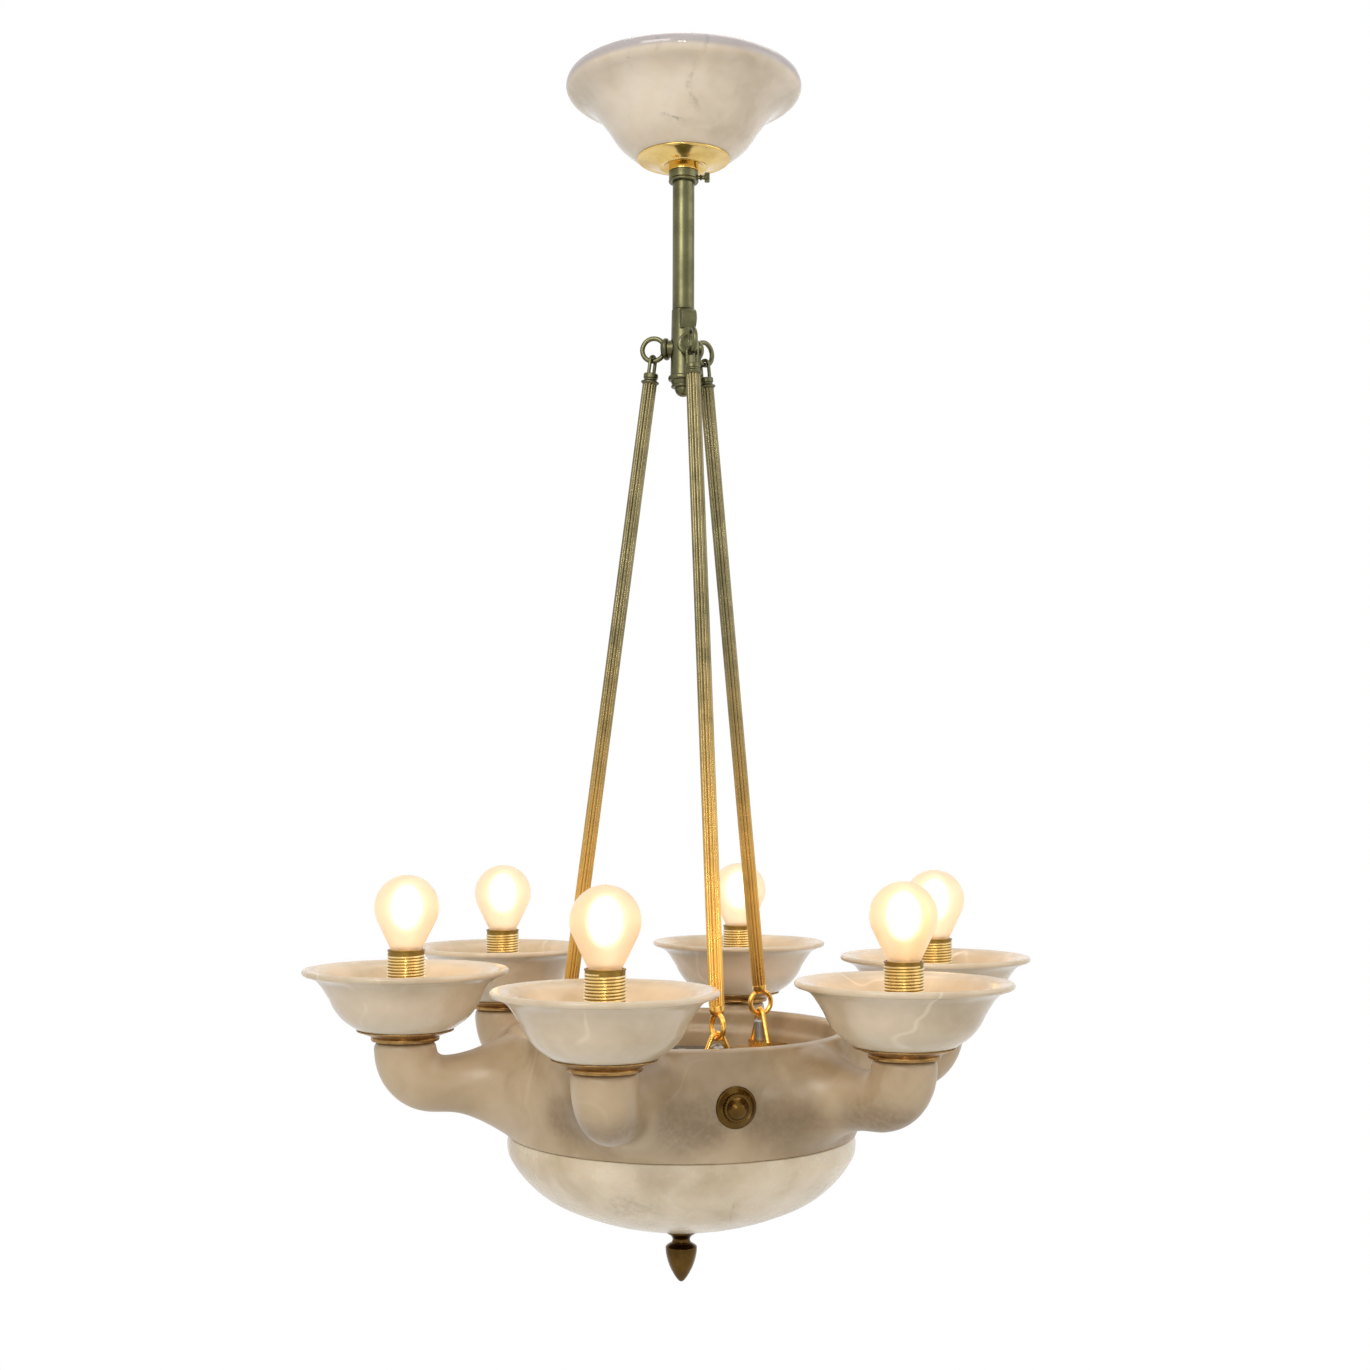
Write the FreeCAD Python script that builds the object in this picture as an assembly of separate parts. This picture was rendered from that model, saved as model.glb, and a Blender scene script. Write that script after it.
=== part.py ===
import FreeCAD, Part

import math
import os

from FreeCAD import Vector

# Six-light hanging lamp: an alabaster bowl with six carved arms and cups, three
# reeded rods, a turned hub, a stem and an alabaster ceiling canopy.
#
# Millimetres. The origin is the middle of the ceiling bracket, on the ceiling,
# and +Z is up. A turn is an angle about Z counted from the front (-Y) towards
# +X. Every piece that stands off the axis is drawn along +X and then turned.

# ---- clearances ----------------------------------------------------------
SLIDE_GAP = 0.25  # canopy fittings round the stem
HINGE_GAP = 0.05  # thread or pin in its hole
HANG_GAP = 0.35  # between two interlocked rings
HOLE_GAP = 0.3  # screw or tube in a through hole
SEAT_GAP = 0.05  # saddle face against the round it sits on
LEG_GAP = 0.15  # edges of a flat leg against the round wall behind it

# ---- edges and margins ---------------------------------------------------
EDGE = 0.5  # chamfer of turned metal
NUT_CHAMFER = 1.0
THREAD_PROUD = 2.0  # threaded end beyond its nut
OVERRUN = 1.0  # cutting rods run this far past a face

# ---- ceiling bracket -----------------------------------------------------
BRACKET_LENGTH = 110.0
BRACKET_WIDTH = 22.0
BRACKET_THICK = 2.5
BRACKET_DROP = 14.0  # ceiling to the underside of the lowered middle
BRACKET_BRIDGE = 40.0  # length of the lowered middle
SLOT_SPACING = 88.0
SLOT_LENGTH = 14.0
SLOT_WIDTH = 5.0
STEM_NUT_R = 10.5
STEM_NUT_THICK = 5.0

# ---- stem ----------------------------------------------------------------
STEM_R = 8.4
STEM_BORE_R = 5.0
SPIGOT_R = 6.5  # threaded top end, through bracket and nut
SPIGOT_CHAMFER = 0.8
STEM_DROP = 182.0  # ceiling to the top of the hub

# ---- canopy --------------------------------------------------------------
CANOPY_R = 91.0
CANOPY_THROAT_R = 72.7  # underside of the rolled lip
CANOPY_THROAT_Z = 24.6
CANOPY_DEPTH = 62.9
CANOPY_WALL = 8.0
CANOPY_HOLE_R = 12.6
DISH_R = 35.4
DISH_DEPTH = 7.1
DISH_EDGE = 1.6  # thickness of the dish's outer edge
DISH_RING_R = 18.4
NECK_R = 11.45
NECK_END = 10.6  # end of the neck below the canopy's flat
RING_NUT_R = 19.0
RING_NUT_THICK = 5.0
COLLAR_R = 11.6
COLLAR_HEIGHT = 8.6
COLLAR_BEAD = 0.3  # rise of the bead round the collar's foot
COLLAR_BEAD_HEIGHT = 2.4
THUMB_TURN = 73.7
THUMB_SHANK_R = 1.5
THUMB_REACH = 4.6  # bare shank between the collar and the head
THUMB_HEAD_R = 3.85
THUMB_HEAD_LENGTH = 3.9
THUMB_EDGE = 1.2

# ---- hub -----------------------------------------------------------------
HUB_TOP_R = 8.9
HUB_FOOT_R = 9.8
HUB_LENGTH = 51.3
PAD_WIDTH = 12.5
PAD_REACH = 11.3
PAD_LENGTH = 16.6
PAD_TURN = 10.0
CAP_R = 11.5
CAP_BALL_R = 6.9
CAP_DEPTH = 16.0
EYE_DROP = 29.6  # hub top to the middle of the ring eyes
EYE_REACH = 23.6  # axis to the middle of a ring eye
EYE_HOLE_R = 6.9
RING_WIRE_R = 1.9
BOSS_R = 8.1
BOSS_NECK_R = 6.7

# ---- rods ----------------------------------------------------------------
ROD_COUNT = 3
ROD_LENGTH = 503.5  # loop's top wire to the middle of the lower ring
ROD_R = 5.5
REEDS = 12
REED_RISE = 0.45  # height of a reed over the valley beside it
ROD_BORE_R = 3.4
LOOP_HALF = 4.0  # middle of the loop's wire from its centre line
LOOP_WIRE_R = 1.4
LOOP_LENGTH = 13.4  # top wire to the neck
LOOP_SINK = 1.5  # wire inside the neck
LOOP_NECK_R = 5.65
LOOP_FLARE_R = 6.85
LOOP_NECK_END = 22.0  # loop's top wire to the end of its neck
FERRULE_R = 5.35
FERRULE_RISE = 14.0  # ferrule line above the middle of the ring
HANG_R = 89.5  # axis to the middle of the lower rings
LOOP_TWISTS = (0.0, 0.0, -14.0)  # how each rod's loop and lower ring stand turned on it, degrees
RING_TWISTS = (10.0, -24.0, 0.0)

# ---- hangers -------------------------------------------------------------
BAIL_ARC_R = 4.8
BAIL_WIRE_R = 1.75
BAIL_SPREAD = 24.0  # lean of each leg, degrees
BAIL_FOOT_WIDTH = 9.0
BAIL_FOOT_THICK = 3.0
BAIL_ABOVE_RIM = 6.2  # apex wire above the bowl's rim
STRAP_THICK = 3.0
STRAP_WIDTH = 18.0
STRAP_INNER_R = 60.0
STRAP_LEG = 27.0
STUD_R = 2.5
STUD_LENGTH = 17.0
KNURL_R = 4.9
KNURL_TOP_GAP = 1.4  # knurled nut below the ring over it
KNURL_DOME = 2.6  # height of its domed top
BOLT_R = 3.0
BOLT_DROP = 38.2  # rim to the through-bolts
BOLT_NUT_R = 5.6
BOLT_NUT_THICK = 5.0
ROSETTE_R = 14.25
ROSETTE_THICK = 4.0
ROSETTE_BALL_R = 8.85
ROSETTE_OUT = 9.6  # front of the ball beyond the disc's back
SPOT_MARGIN = 0.4  # flat spot on the bowl beyond the rosette's edge
SPOT_DEPTH = 0.3

# ---- bowl drum -----------------------------------------------------------
DRUM_RIM_R = 129.8
DRUM_BELLY_R = 132.2
DRUM_FOOT_R = 130.4
DRUM_HEIGHT = 76.2
DRUM_WALL = 13.0
BAND_DEPTH = 13.8  # rim to the step inside
BAND_STEP = 2.8
RIM_ROUND = 2.6

# ---- arms ----------------------------------------------------------------
ARM_COUNT = 6
ARM_FIRST_TURN = 30.0
ARM_R = 206.2  # axis to the middle of a cup
WAIST_R = 20.1
WAIST_DROP = 34.5  # rim to the middle of the waist
NECK_FOOT_R = 22.4  # where the elbow has turned up
NECK_TOP_R = 22.85
NECK_CHAMFER = 1.0
NECK_TOP_DROP = 2.5  # rim to the top of an arm's neck
CROTCH_R = 2.5  # inner round of the elbow
WIRE_HOLE_R = 4.0
TENON_R = 11.0
TENON_LENGTH = 12.0
FLARE_SHY = 0.6  # an arm's flare ends this far inside the bowl's rim and foot
FLARE_SINK = 8.5  # end of the flare inside the bowl's wall
FLARE_HALF_WIDTH = 56.5
FLARE_RISE = 14.4  # top of the flare over the top of the waist
FLARE_FALL = 21.4
# How an arm flares from its waist to the bowl, as shares: of the way inwards,
# of the growth in half width, of the rise and of the fall.
FLARE = (
    (0.21, 0.022, 0.08, 0.04),
    (0.42, 0.12, 0.28, 0.24),
    (0.62, 0.313, 0.59, 0.52),
    (0.8, 0.643, 0.92, 0.83),
    (1.0, 1.0, 1.0, 1.0),
)

# ---- cups and lampholders ------------------------------------------------
CUP_R = 73.7
CUP_HEIGHT = 43.2
CUP_FOOT_R = 34.2
CUP_LIP_R = 2.9
CUP_FLOOR = 8.0
CUP_PLATE_R = 34.65
CUP_PLATE_THICK = 7.9
PLATE_BAND_R = 23.9
SLEEVE_R = 13.75
SLEEVE_HEIGHT = 48.5
SLEEVE_MOUTH_R = 12.2
SLEEVE_MOUTH_DEPTH = 12.0
SLEEVE_FLOOR = 5.0
SOCKET_R = 7.3
SOCKET_DEPTH = 38.3
SOCKET_TUBE_R = 5.0
SOCKET_TUBE_BORE_R = 3.5
SOCKET_TUBE_LENGTH = 40.0

# ---- bulbs ---------------------------------------------------------------
BULB_R = 23.1
BULB_RISE = 53.2  # top of the glass above the sleeve
BULB_MOUTH_R = 11.3  # glass where it enters the sleeve
BULB_STEM_R = 6.3
BULB_GLASS = 0.9
CAP_TOP_DROP = 11.0  # sleeve's top to the top of the screw cap
SCREW_CAP_R = 6.95
SCREW_CAP_LENGTH = 27.0

# ---- lower dome, plate and finial ----------------------------------------
DOME_R = 128.8
DOME_DEPTH = 68.0
DOME_WALL = 9.0
DOME_FLAT_R = 31.0
DISC_R = 30.5
DISC_THICK = 3.0
PLATE_R = 78.6
PLATE_THICK = 2.0
PLATE_DROP = 24.6  # rim to the top of the plate
ROD_SCREW_R = 3.0
CENTRE_NUT_R = 7.0
CENTRE_NUT_THICK = 6.0
CENTRE_ROD_END = 29.0  # centre rod below the disc
FINIAL_LENGTH = 39.8
FINIAL_FLANGE_R = 12.45
FINIAL_NECK_R = 6.5
FINIAL_BUD_R = 11.65

# ---- levels worked out from the sizes above ------------------------------
ROUND = math.sqrt(0.5)  # middle of a quarter round
HUB_TOP = -STEM_DROP
EYE_Z = HUB_TOP - EYE_DROP
EYE_RING_R = EYE_HOLE_R + RING_WIRE_R
LOOP_Z = EYE_Z - EYE_HOLE_R + HANG_GAP + LOOP_WIRE_R
ROD_DROP = math.sqrt(ROD_LENGTH**2 - (HANG_R - EYE_REACH) ** 2)
ROD_LEAN = math.degrees(math.atan2(HANG_R - EYE_REACH, ROD_DROP))
RING_Z = LOOP_Z - ROD_DROP
BAIL_Z = RING_Z - EYE_HOLE_R + HANG_GAP + BAIL_WIRE_R
RIM = BAIL_Z - BAIL_ABOVE_RIM
FOOT = RIM - DRUM_HEIGHT
PLATE_TOP = RIM - PLATE_DROP
STRAP_TOP = PLATE_TOP + STRAP_THICK
BOLT_Z = RIM - BOLT_DROP
WAIST_Z = RIM - WAIST_DROP
ARM_TOP = RIM - NECK_TOP_DROP
CUP_FOOT = ARM_TOP + CUP_PLATE_THICK
CUP_RIM = CUP_FOOT + CUP_HEIGHT
SLEEVE_FOOT = CUP_FOOT + CUP_FLOOR
SLEEVE_TOP = SLEEVE_FOOT + SLEEVE_HEIGHT
DOME_FOOT = FOOT - DOME_DEPTH
DISC_FOOT = DOME_FOOT - DISC_THICK
CANOPY_FLAT = -CANOPY_DEPTH
COLLAR_TOP = CANOPY_FLAT - NECK_END
BAND_R = DRUM_RIM_R - DRUM_WALL
WALL_R = BAND_R - BAND_STEP
ARM_JOINT_R = ARM_R - NECK_FOOT_R - CROTCH_R


def flat(point):
    """A (radius, height) pair as a point of the XZ plane."""
    return Vector(point[0], 0, point[1])


def between(first, last, *shares):
    """Points at shares of the way from one point to another, in radius and in height."""
    wide = last[0] - first[0]
    high = last[1] - first[1]
    return [(first[0] + across * wide, first[1] + up * high) for across, up in shares]


def face(start, *runs):
    """A closed outline in the XZ plane, as a face.

    A pair is a straight run to that point, a pair of pairs is an arc through
    the first to the second, and a list is a smooth curve through its points.
    """
    here = flat(start)
    edges = []
    for run in runs:
        if isinstance(run, list):
            through = [here] + [flat(point) for point in run]
            curve = Part.BSplineCurve()
            curve.interpolate(through)
            edges.append(curve.toShape())
            here = through[-1]
        elif isinstance(run[0], tuple):
            end = flat(run[1])
            edges.append(Part.Arc(here, flat(run[0]), end).toShape())
            here = end
        else:
            end = flat(run)
            edges.append(Part.LineSegment(here, end).toShape())
            here = end
    if here.distanceToPoint(flat(start)) > 1e-6:
        edges.append(Part.LineSegment(here, flat(start)).toShape())
    return Part.Face(Part.Wire(edges))


def turned(start, *runs):
    """A solid of revolution about Z from an outline of face()."""
    return face(start, *runs).revolve(Vector(0, 0, 0), Vector(0, 0, 1), 360)


def rod(radius, low, high, x=0.0):
    """An upright cylinder between two heights."""
    return Part.makeCylinder(radius, high - low, Vector(x, 0, low))


def radial_rod(radius, near, far, height):
    """A cylinder that lies along +X between two distances from the axis."""
    return Part.makeCylinder(radius, far - near, Vector(near, 0, height), Vector(1, 0, 0))


def to_radial(shape, height):
    """A piece turned about Z, laid along +X at a height: its +Z points outwards."""
    laid = shape.copy()
    laid.rotate(Vector(0, 0, 0), Vector(0, 1, 0), 90)
    laid.translate(Vector(0, 0, height))
    return laid


def at_turn(shape, turn):
    """A piece drawn along +X, brought to a turn counted from the front."""
    copy = shape.copy()
    copy.rotate(Vector(0, 0, 0), Vector(0, 0, 1), turn - 90)
    return copy


def moved(shape, x=0.0, y=0.0, z=0.0):
    """A copy of a piece, shifted."""
    copy = shape.copy()
    copy.translate(Vector(x, y, z))
    return copy


def arm_turns():
    """The turns of the six arms."""
    return [ARM_FIRST_TURN + 360.0 * k / ARM_COUNT for k in range(ARM_COUNT)]


def rod_turns():
    """The turns of the three rods."""
    return [360.0 * k / ROD_COUNT for k in range(ROD_COUNT)]


def wire_path(edges, radius):
    """A round wire swept along joined edges."""
    path = Part.Wire(edges)
    first = path.OrderedEdges[0]
    start = first.valueAt(first.FirstParameter)
    along = first.tangentAt(first.FirstParameter)
    ring = Part.Wire([Part.makeCircle(radius, start, along)])
    return path.makePipeShell([ring], True, False)


def save(name, shape):
    """One node: its STEP file, with a word if the solid isn't sound."""
    if not shape.isValid():
        print("not valid:", name)
    shape.exportStep("parts/%s.step" % name)
    print("%-22s %3d solids %9.0f mm3" % (name, len(shape.Solids), shape.Volume))


# ---- ceiling and stem ----------------------------------------------------
def ceiling_bracket():
    """A strip with two slotted feet on the ceiling and a lowered middle for the stem."""
    foot_x = BRACKET_BRIDGE / 2 + BRACKET_DROP
    low = -BRACKET_DROP
    profile = face(
        (-BRACKET_LENGTH / 2, 0),
        (-BRACKET_LENGTH / 2, -BRACKET_THICK),
        (-foot_x, -BRACKET_THICK),
        (-BRACKET_BRIDGE / 2 - BRACKET_THICK, low),
        (BRACKET_BRIDGE / 2 + BRACKET_THICK, low),
        (foot_x, -BRACKET_THICK),
        (BRACKET_LENGTH / 2, -BRACKET_THICK),
        (BRACKET_LENGTH / 2, 0),
        (foot_x - BRACKET_THICK, 0),
        (BRACKET_BRIDGE / 2, low + BRACKET_THICK),
        (-BRACKET_BRIDGE / 2, low + BRACKET_THICK),
        (-foot_x + BRACKET_THICK, 0),
    )
    profile.translate(Vector(0, -BRACKET_WIDTH / 2, 0))
    strip = profile.extrude(Vector(0, BRACKET_WIDTH, 0))
    straight = (SLOT_LENGTH - SLOT_WIDTH) / 2
    for side in (-1, 1):
        middle = side * SLOT_SPACING / 2
        for end in (-straight, straight):
            strip = strip.cut(rod(SLOT_WIDTH / 2, -2 * BRACKET_THICK, BRACKET_THICK, middle + end))
        web = Part.makeBox(2 * straight, SLOT_WIDTH, 3 * BRACKET_THICK)
        web.translate(Vector(middle - straight, -SLOT_WIDTH / 2, -2 * BRACKET_THICK))
        strip = strip.cut(web)
    return strip.cut(rod(SPIGOT_R + HOLE_GAP, low - OVERRUN, low + BRACKET_THICK + OVERRUN))


def stem_nut():
    """The hexagon nut that holds the stem's threaded end over the bracket."""
    low = -BRACKET_DROP + BRACKET_THICK
    corners = [
        Vector(STEM_NUT_R * math.cos(k * math.pi / 3), STEM_NUT_R * math.sin(k * math.pi / 3), low)
        for k in range(7)
    ]
    nut = Part.Face(Part.makePolygon(corners)).extrude(Vector(0, 0, STEM_NUT_THICK))
    return nut.cut(rod(SPIGOT_R + HINGE_GAP, low - OVERRUN, low + STEM_NUT_THICK + OVERRUN))


def stem_tube():
    """The stem: a thick tube with a turned-down, threaded top end."""
    shoulder = -BRACKET_DROP
    top = shoulder + BRACKET_THICK + STEM_NUT_THICK + THREAD_PROUD
    return turned(
        (STEM_BORE_R, top),
        (SPIGOT_R - SPIGOT_CHAMFER, top),
        (SPIGOT_R, top - SPIGOT_CHAMFER),
        (SPIGOT_R, shoulder),
        (STEM_R, shoulder),
        (STEM_R, HUB_TOP),
        (STEM_BORE_R, HUB_TOP),
    )


# ---- canopy --------------------------------------------------------------
def canopy_bowl():
    """The alabaster canopy: a wide rolled lip on the ceiling and an ogee below it."""
    throat = (CANOPY_THROAT_R, -CANOPY_THROAT_Z)
    floor = CANOPY_FLAT + CANOPY_WALL
    lip_inside, *lip = between(
        (CANOPY_THROAT_R, 0), (CANOPY_R, -CANOPY_THROAT_Z),
        (0.37, 0.08), (0.56, 0.036), (0.73, 0.033), (0.92, 0.12), (1, 0.325), (0.82, 0.69), (0.48, 0.91),
    )
    ogee = between(
        throat, (DISH_R, CANOPY_FLAT),
        (0.17, 0.11), (0.36, 0.37), (0.59, 0.69), (0.88, 0.94), (0.99, 1),
    )
    inside = between((DISH_R, floor), (CANOPY_R, 0), (0, 0.08), (0.22, 0.26), (0.44, 0.59), (0.68, 0.83))
    return turned(
        lip_inside,
        lip + [throat],
        ogee,
        (CANOPY_HOLE_R, CANOPY_FLAT),
        (CANOPY_HOLE_R, floor),
        (DISH_R - CANOPY_WALL, floor),
        inside,
    )


def canopy_dish():
    """The brass dish under the canopy, with the neck that passes up through it."""
    ring = (DISH_RING_R, CANOPY_FLAT - DISH_DEPTH)
    edge = (DISH_R, CANOPY_FLAT)
    neck = (NECK_R, CANOPY_FLAT)
    top = CANOPY_FLAT + CANOPY_WALL + RING_NUT_THICK + THREAD_PROUD
    bore = STEM_R + SLIDE_GAP
    return turned(
        (bore, top),
        (NECK_R, top),
        neck,
        edge,
        ((DISH_R + EDGE, CANOPY_FLAT - DISH_EDGE / 2), (DISH_R, CANOPY_FLAT - DISH_EDGE)),
        *between(edge, ring, (0.09, 0.27)),
        between(edge, ring, (0.38, 0.35), (0.7, 0.59), (0.93, 0.86)),
        tuple(between(edge, ring, (0.98, 0.985), (1.04, 1))),
        *between(edge, ring, (1.15, 0.945)),
        between(neck, ring, (0.29, 0.69), (0, 0.52)),
        (NECK_R, COLLAR_TOP),
        (bore, COLLAR_TOP),
    )


def canopy_ring_nut():
    """The round nut inside the canopy that clamps it on the neck of the dish."""
    low = CANOPY_FLAT + CANOPY_WALL
    return turned(
        (NECK_R + HINGE_GAP, low),
        (RING_NUT_R, low),
        (RING_NUT_R, low + RING_NUT_THICK - NUT_CHAMFER),
        (RING_NUT_R - NUT_CHAMFER, low + RING_NUT_THICK),
        (NECK_R + HINGE_GAP, low + RING_NUT_THICK),
    )


def canopy_collar():
    """The slip collar that the thumbscrew clamps on the stem."""
    low = COLLAR_TOP - COLLAR_HEIGHT
    bore = STEM_R + SLIDE_GAP
    ring = turned(
        (bore, COLLAR_TOP),
        (COLLAR_R - COLLAR_BEAD, COLLAR_TOP),
        (COLLAR_R - COLLAR_BEAD, low + COLLAR_BEAD_HEIGHT),
        ((COLLAR_R + COLLAR_BEAD, low + COLLAR_BEAD_HEIGHT / 2), (COLLAR_R - COLLAR_BEAD, low)),
        (bore, low),
    )
    hole = radial_rod(THUMB_SHANK_R + HINGE_GAP, STEM_R, 2 * COLLAR_R, COLLAR_TOP - COLLAR_HEIGHT / 2)
    return ring.cut(at_turn(hole, THUMB_TURN))


def canopy_thumbscrew():
    """The thumbscrew: a shank that nearly reaches the stem, and a waisted flat head."""
    tip = STEM_R + HANG_GAP
    head = COLLAR_R + THUMB_REACH
    end = head + THUMB_HEAD_LENGTH
    bead = between(
        (THUMB_SHANK_R, COLLAR_R), (THUMB_HEAD_R, head),
        (0, 0.2), (0.38, 0.35), (0.04, 0.56), (0.13, 1),
    )
    screw = turned(
        (0, tip),
        (THUMB_SHANK_R - EDGE, tip),
        (THUMB_SHANK_R, tip + EDGE),
        *bead,
        ((THUMB_HEAD_R, head + THUMB_EDGE / 2), (THUMB_HEAD_R, end - THUMB_EDGE)),
        (THUMB_HEAD_R - THUMB_EDGE, end),
        (0, end),
    )
    return at_turn(to_radial(screw, COLLAR_TOP - COLLAR_HEIGHT / 2), THUMB_TURN)


# ---- hub -----------------------------------------------------------------
def hub_body():
    """The hub: a slightly tapered body with a rounded pad on its front."""
    foot = HUB_TOP - HUB_LENGTH
    core = turned(
        (0, HUB_TOP),
        (HUB_TOP_R - EDGE, HUB_TOP),
        (HUB_TOP_R, HUB_TOP - EDGE),
        (HUB_FOOT_R, foot),
        (0, foot),
    )
    pad_front = between(
        (HUB_TOP_R, HUB_TOP), (PAD_REACH, HUB_TOP - PAD_LENGTH),
        (-0.1, 0.04), (0.62, 0.145), (1, 0.36), (0.88, 0.66), (-0.17, 1),
    )
    pad = face(
        (HUB_TOP_R / 2, pad_front[0][1]),
        pad_front[0],
        pad_front[1:],
        (HUB_TOP_R / 2, HUB_TOP - PAD_LENGTH),
    )
    pad.translate(Vector(0, -PAD_WIDTH / 2, 0))
    pad = pad.extrude(Vector(0, PAD_WIDTH, 0))
    return core.fuse(at_turn(pad, PAD_TURN)).removeSplitter()


def hub_eye(turn):
    """A stepped boss that ends in a ring, whose hole looks along the round."""
    start = (BOSS_NECK_R, HUB_FOOT_R)
    end = (BOSS_R, EYE_REACH - EYE_HOLE_R)
    nose, = between(start, end, (-0.43, 0.98))
    boss = turned(
        (0, 0),
        (BOSS_NECK_R, 0),
        *between(start, end, (0, 0.2), (1, 0.32)),
        tuple(between(start, end, (1.28, 0.52), (1, 0.72))),
        nose,
        (0, nose[1]),
    )
    boss = to_radial(boss, EYE_Z)
    seat = Part.makeCone(
        HUB_TOP_R + SEAT_GAP, HUB_FOOT_R + SEAT_GAP, HUB_LENGTH, Vector(0, 0, HUB_TOP), Vector(0, 0, -1))
    boss = boss.cut(seat)
    ring = Part.makeTorus(EYE_RING_R, RING_WIRE_R, Vector(EYE_REACH, 0, EYE_Z), Vector(0, 1, 0))
    return at_turn(boss.fuse(ring), turn)


def hub_cap():
    """The turned cap under the hub: a moulded collar, a lower ring and a ball."""
    top = (0, HUB_TOP - HUB_LENGTH)
    foot = (CAP_R, HUB_TOP - HUB_LENGTH - CAP_DEPTH)
    return turned(
        top,
        *between(top, foot, (0.86, 0)),
        tuple(between(top, foot, (0.98, 0.045), (1, 0.125))),
        tuple(between(top, foot, (0.98, 0.2), (0.895, 0.245))),
        *between(top, foot, (0.74, 0.45)),
        tuple(between(top, foot, (0.81, 0.51), (0.72, 0.58))),
        (CAP_BALL_R, foot[1] + CAP_BALL_R),
        ((CAP_BALL_R * ROUND, foot[1] + CAP_BALL_R * (1 - ROUND)), (0, foot[1])),
    )


# ---- rods ----------------------------------------------------------------
def on_rod(shape, turn):
    """A rod's piece, drawn hanging straight down from the origin, brought to its place."""
    copy = shape.copy()
    copy.rotate(Vector(0, 0, 0), Vector(0, 1, 0), -ROD_LEAN)
    copy.translate(Vector(EYE_REACH, 0, LOOP_Z))
    return at_turn(copy, turn)


def rod_loop(twist):
    """The closed loop and turned neck at the top of a rod."""
    low = -LOOP_LENGTH - LOOP_SINK
    neck_top = (LOOP_NECK_R, -LOOP_LENGTH)
    neck_end = (LOOP_FLARE_R, -LOOP_NECK_END)
    path = [
        Part.LineSegment(Vector(0, -LOOP_HALF, low), Vector(0, -LOOP_HALF, -LOOP_HALF)).toShape(),
        Part.Arc(
            Vector(0, -LOOP_HALF, -LOOP_HALF), Vector(0, 0, 0), Vector(0, LOOP_HALF, -LOOP_HALF)
        ).toShape(),
        Part.LineSegment(Vector(0, LOOP_HALF, -LOOP_HALF), Vector(0, LOOP_HALF, low)).toShape(),
    ]
    neck = turned(
        (0, -LOOP_LENGTH),
        *between(neck_top, neck_end, (-0.75, 0)),
        tuple(between(neck_top, neck_end, (-0.17, 0.05), (0, 0.16))),
        *between(neck_top, neck_end, (0, 0.42)),
        tuple(between(neck_top, neck_end, (-0.58, 0.53), (-0.17, 0.65))),
        *between(neck_top, neck_end, (1, 0.74)),
        tuple(between(neck_top, neck_end, (1.12, 0.8), (1, 0.86))),
        (ROD_R, -LOOP_NECK_END),
        (0, -LOOP_NECK_END),
    )
    loop = wire_path(path, LOOP_WIRE_R).fuse(neck)
    loop.rotate(Vector(0, 0, 0), Vector(0, 0, 1), twist)
    return loop


def rod_tube():
    """The reeded tube: a bundle of small rounds, with a bore through it."""
    low = -ROD_LENGTH + FERRULE_RISE
    valley = ROD_R - REED_RISE
    edges = []
    for k in range(REEDS):
        start, middle, end = (2 * math.pi * (k + part) / REEDS for part in (0, 0.5, 1))
        edges.append(
            Part.Arc(
                Vector(valley * math.cos(start), valley * math.sin(start), low),
                Vector(ROD_R * math.cos(middle), ROD_R * math.sin(middle), low),
                Vector(valley * math.cos(end), valley * math.sin(end), low),
            ).toShape()
        )
    tube = Part.Face(Part.Wire(edges)).extrude(Vector(0, 0, -LOOP_NECK_END - low))
    return tube.cut(rod(ROD_BORE_R, low, -LOOP_NECK_END))


def rod_ring(twist):
    """The ferrule and round ring at the foot of a rod, whose hole looks along the round."""
    middle = -ROD_LENGTH
    shoulder, *nose = between(
        (0, middle + EYE_HOLE_R), (FERRULE_R, middle + FERRULE_RISE), (1, 0.56), (0.89, 0.31), (0.64, 0.13))
    ferrule = turned(
        (0, middle + FERRULE_RISE),
        (FERRULE_R, middle + FERRULE_RISE),
        shoulder,
        nose,
        (0, nose[-1][1]),
    )
    ring = Part.makeTorus(EYE_RING_R, RING_WIRE_R, Vector(0, 0, middle), Vector(0, 1, 0))
    whole = ferrule.fuse(ring)
    whole.rotate(Vector(0, 0, 0), Vector(0, 0, 1), twist)
    return whole


# ---- hangers in the bowl -------------------------------------------------
def hanging_point(twist):
    """The place below the lowest wire of a rod's ring, which a twist moves aside on a leaning rod."""
    turn = math.radians(twist)
    aside = -EYE_RING_R * math.sin(math.radians(ROD_LEAN)) * math.sin(turn)
    return Vector(HANG_R - aside * math.sin(turn), aside * math.cos(turn), 0)


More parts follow.
